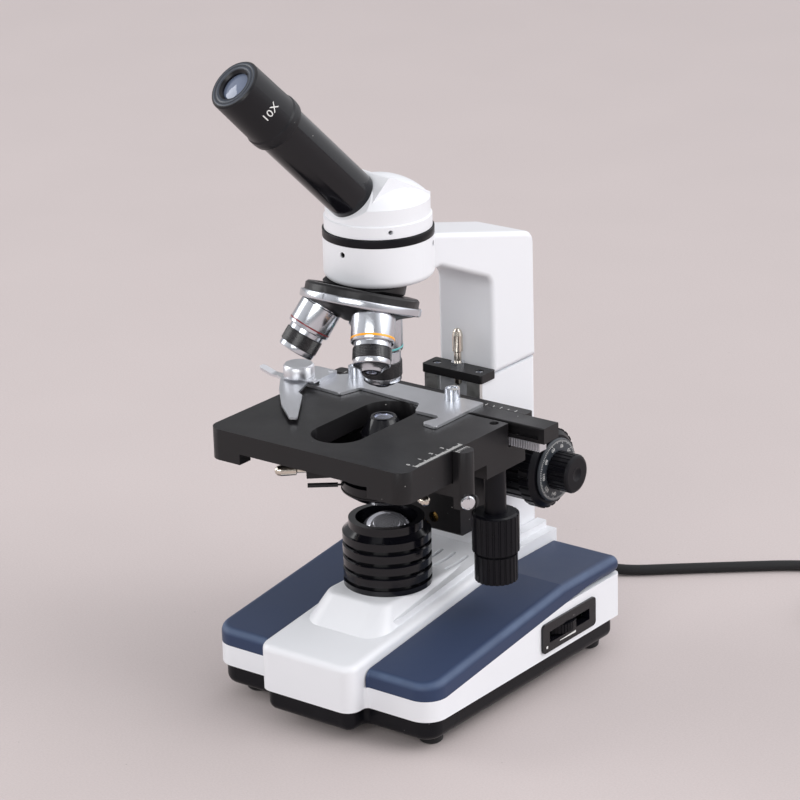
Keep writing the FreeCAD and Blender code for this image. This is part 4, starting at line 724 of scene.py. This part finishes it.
def small_screws():
    """The slotted screws of the vernier post and of the stage carriage."""
    facing = Vector((0.8, -0.6, 0))
    post_foot = Vector((POST_X, POST_Y, POST_SCREW_Z))
    slotted_head("post_screw", post_foot + facing * (POST_RADIUS - 0.25), facing, radius=4.0, thick=2.5,
                 body="carriage", look=looks["chrome"])
    slotted_head("carriage_screw", CARRIAGE_SCREW, (0, -1, 0), radius=3.0, thick=1.2,
                 body="carriage", look=looks["brass"])


def set_screw(name, azimuth, radius, height, body):
    """Black socket screw just under the mouth of a radial hole."""
    outward = Vector((math.cos(azimuth), math.sin(azimuth), 0))
    mesh = bmesh.new()
    lathe(mesh, [(0.7, -2.4), (0.7, -0.1), (0.8, 0), (1.45, 0), (1.52, -0.1), (1.52, -2.4)],
          outward * (radius - 0.7) + Vector((0, 0, height)), outward, 32)
    piece_from(name, mesh, body, looks["black_gloss"])


def focus_ring_scale():
    """Graduations and numerals on the face of the fine-focus ring."""
    mesh = bmesh.new()
    for step in range(100):
        turn = 2 * math.pi * step / 100
        out = Vector((0, math.cos(turn), math.sin(turn)))
        along = Vector((0, -math.sin(turn), math.cos(turn)))
        length = 2.0 if step % 10 == 0 else 1.6 if step % 5 == 0 else 1.1
        spot = Vector((RING_FACE_X, FOCUS_Y, FOCUS_Z)) + out * (TICK_RADIUS - length / 2)
        tile(mesh, lambda u, v, w, s=spot, a=along, o=out: s + a * u + o * v + Vector((w, 0, 0)),
             width=0.26, height=length)
        if step % 10 == 0:
            number = Vector((RING_FACE_X, FOCUS_Y, FOCUS_Z)) + out * NUMERAL_RADIUS
            lettering(mesh, str(step * 2), 3.1,
                      lambda u, v, w, s=number, a=along, o=out: s + a * u + o * v + Vector((w, 0, 0)))
    piece_from("focus_scale", mesh, "fine_drive", white_ink, smooth=False)


def dimmer_marks():
    """A growing wedge under the brightness wheel, and a dot at the dark end."""
    mesh = bmesh.new()

    def wedge(u, v, w):
        grown = 0.25 + 0.75 * (u / WEDGE_LENGTH + 0.5)
        return Vector((BEZEL_X + w, DIMMER_Y - 2 + u, DIMMER_Z - 5.6 + v * grown))

    def dot(u, v, w):
        return Vector((BEZEL_X + w, DIMMER_Y - 22.6 + u, DIMMER_Z - 5.4 + v))

    tile(mesh, wedge, width=WEDGE_LENGTH, height=1.3)
    tile(mesh, dot, width=1.5, height=1.5)
    piece_from("dimmer_marks", mesh, "stand", white_ink, smooth=False)


stage_scales()
small_screws()
set_screw("seat_screw_front", math.radians(-92), SEAT_RADIUS, SEAT_SCREW_FRONT_Z, "stand")
set_screw("seat_screw_side", math.radians(23.5), SEAT_RADIUS, SEAT_SCREW_SIDE_Z, "stand")
focus_ring_scale()
dimmer_marks()


# ---- floor and light --------------------------------------------------------------------------------------
def make_floor():
    """Pale paper with fibres and a few specks, level with the feet."""
    mesh = bmesh.new()
    half = 6.0
    signs = ((-1, -1), (1, -1), (1, 1), (-1, 1))
    corners = [mesh.verts.new((AXIS.x + x * half, AXIS.y + y * half, 0)) for x, y in signs]
    mesh.faces.new(corners)
    bmesh.ops.subdivide_edges(mesh, edges=mesh.edges, cuts=12, use_grid_fill=True)
    data = bpy.data.meshes.new("floor")
    mesh.to_mesh(data)
    mesh.free()
    floor = bpy.data.objects.new("floor", data)
    bpy.context.scene.collection.objects.link(floor)
    g = surface("paper", (0.560, 0.497, 0.488), 0.75, vary=0.03, rough_vary=0.05, cloud=9.0, grain=900.0,
                depth_mm=0.05, specular=0.25)
    fibres = g.span(g.noise(800.0, 3.0, 0.75), 0.35, 0.65, 0.0, 1.0)
    old = g.shader.inputs["Base Color"].links[0].from_socket
    toned = g.mix(g.math("MULTIPLY", fibres, 0.32), old, (0.42, 0.37, 0.36, 1.0))
    specks = g.span(g.cells(38.0), 0.012, 0.02, 0.5, 0.0)
    g.link(g.mix(specks, toned, (0.22, 0.18, 0.17, 1.0)), g.shader.inputs["Base Color"])
    data.materials.append(g.material)


def soft_light(name, place, target, size, power):
    """A rectangular softbox. place and target are in millimetres about the axis, size in metres."""
    light = bpy.data.lights.new(name, "AREA")
    light.shape = "RECTANGLE"
    light.size, light.size_y = size
    light.energy = power
    holder = bpy.data.objects.new(name, light)
    bpy.context.scene.collection.objects.link(holder)
    holder.location = metres(place)
    holder.rotation_mode = "QUATERNION"
    holder.rotation_quaternion = (metres(target) - metres(place)).to_track_quat("-Z", "Y")


# even brightness of the studio all round
SKY_BASE = 0.31
# direction, where the glow starts and is full (cosine of the angle off it), and its strength
SKY_GLOWS = (((0.0, 0.0, 1.0), -1.0, 1.0, 0.10), ((-0.80, -0.50, 0.33), 0.60, 0.95, 0.38),
             ((0.85, 0.30, 0.43), 0.60, 0.95, 0.42), ((0.35, 0.45, 0.82), 0.5, 0.95, 0.60),
             ((0.45, 0.88, 0.10), 0.35, 0.85, 0.60))


def make_light():
    """Three far softboxes over an uneven studio: brighter to the left and the upper right, dim elsewhere."""
    middle = (0, 0, 150)
    soft_light("key", (3400, 1000, 2700), middle, size=(2.6, 3.0), power=62.0)
    soft_light("fill", (-3900, -1400, 1800), middle, size=(2.0, 3.0), power=62.0)
    soft_light("front", (1200, -3700, 2000), middle, size=(3.0, 1.8), power=72.0)
    world = bpy.data.worlds.new("studio")
    bpy.context.scene.world = world
    world.use_nodes = True
    tree = world.node_tree
    background = tree.nodes["Background"]
    background.inputs["Color"].default_value = (0.97, 0.97, 1.0, 1.0)
    place = tree.nodes.new("ShaderNodeTexCoord").outputs["Generated"]
    total = SKY_BASE
    for direction, start, full, gain in SKY_GLOWS:
        facing = tree.nodes.new("ShaderNodeVectorMath")
        facing.operation = "DOT_PRODUCT"
        facing.inputs[1].default_value = direction
        tree.links.new(place, facing.inputs[0])
        glow = tree.nodes.new("ShaderNodeMapRange")
        glow.interpolation_type = "SMOOTHSTEP"
        for key, number in (("From Min", start), ("From Max", full), ("To Min", 0.0), ("To Max", gain)):
            glow.inputs[key].default_value = number
        tree.links.new(facing.outputs["Value"], glow.inputs["Value"])
        summed = tree.nodes.new("ShaderNodeMath")
        summed.operation = "ADD"
        feed(tree, summed.inputs[0], total)
        tree.links.new(glow.outputs["Result"], summed.inputs[1])
        total = summed.outputs[0]
    tree.links.new(total, background.inputs["Strength"])
    bpy.context.scene.view_settings.view_transform = "Standard"


make_floor()
make_light()
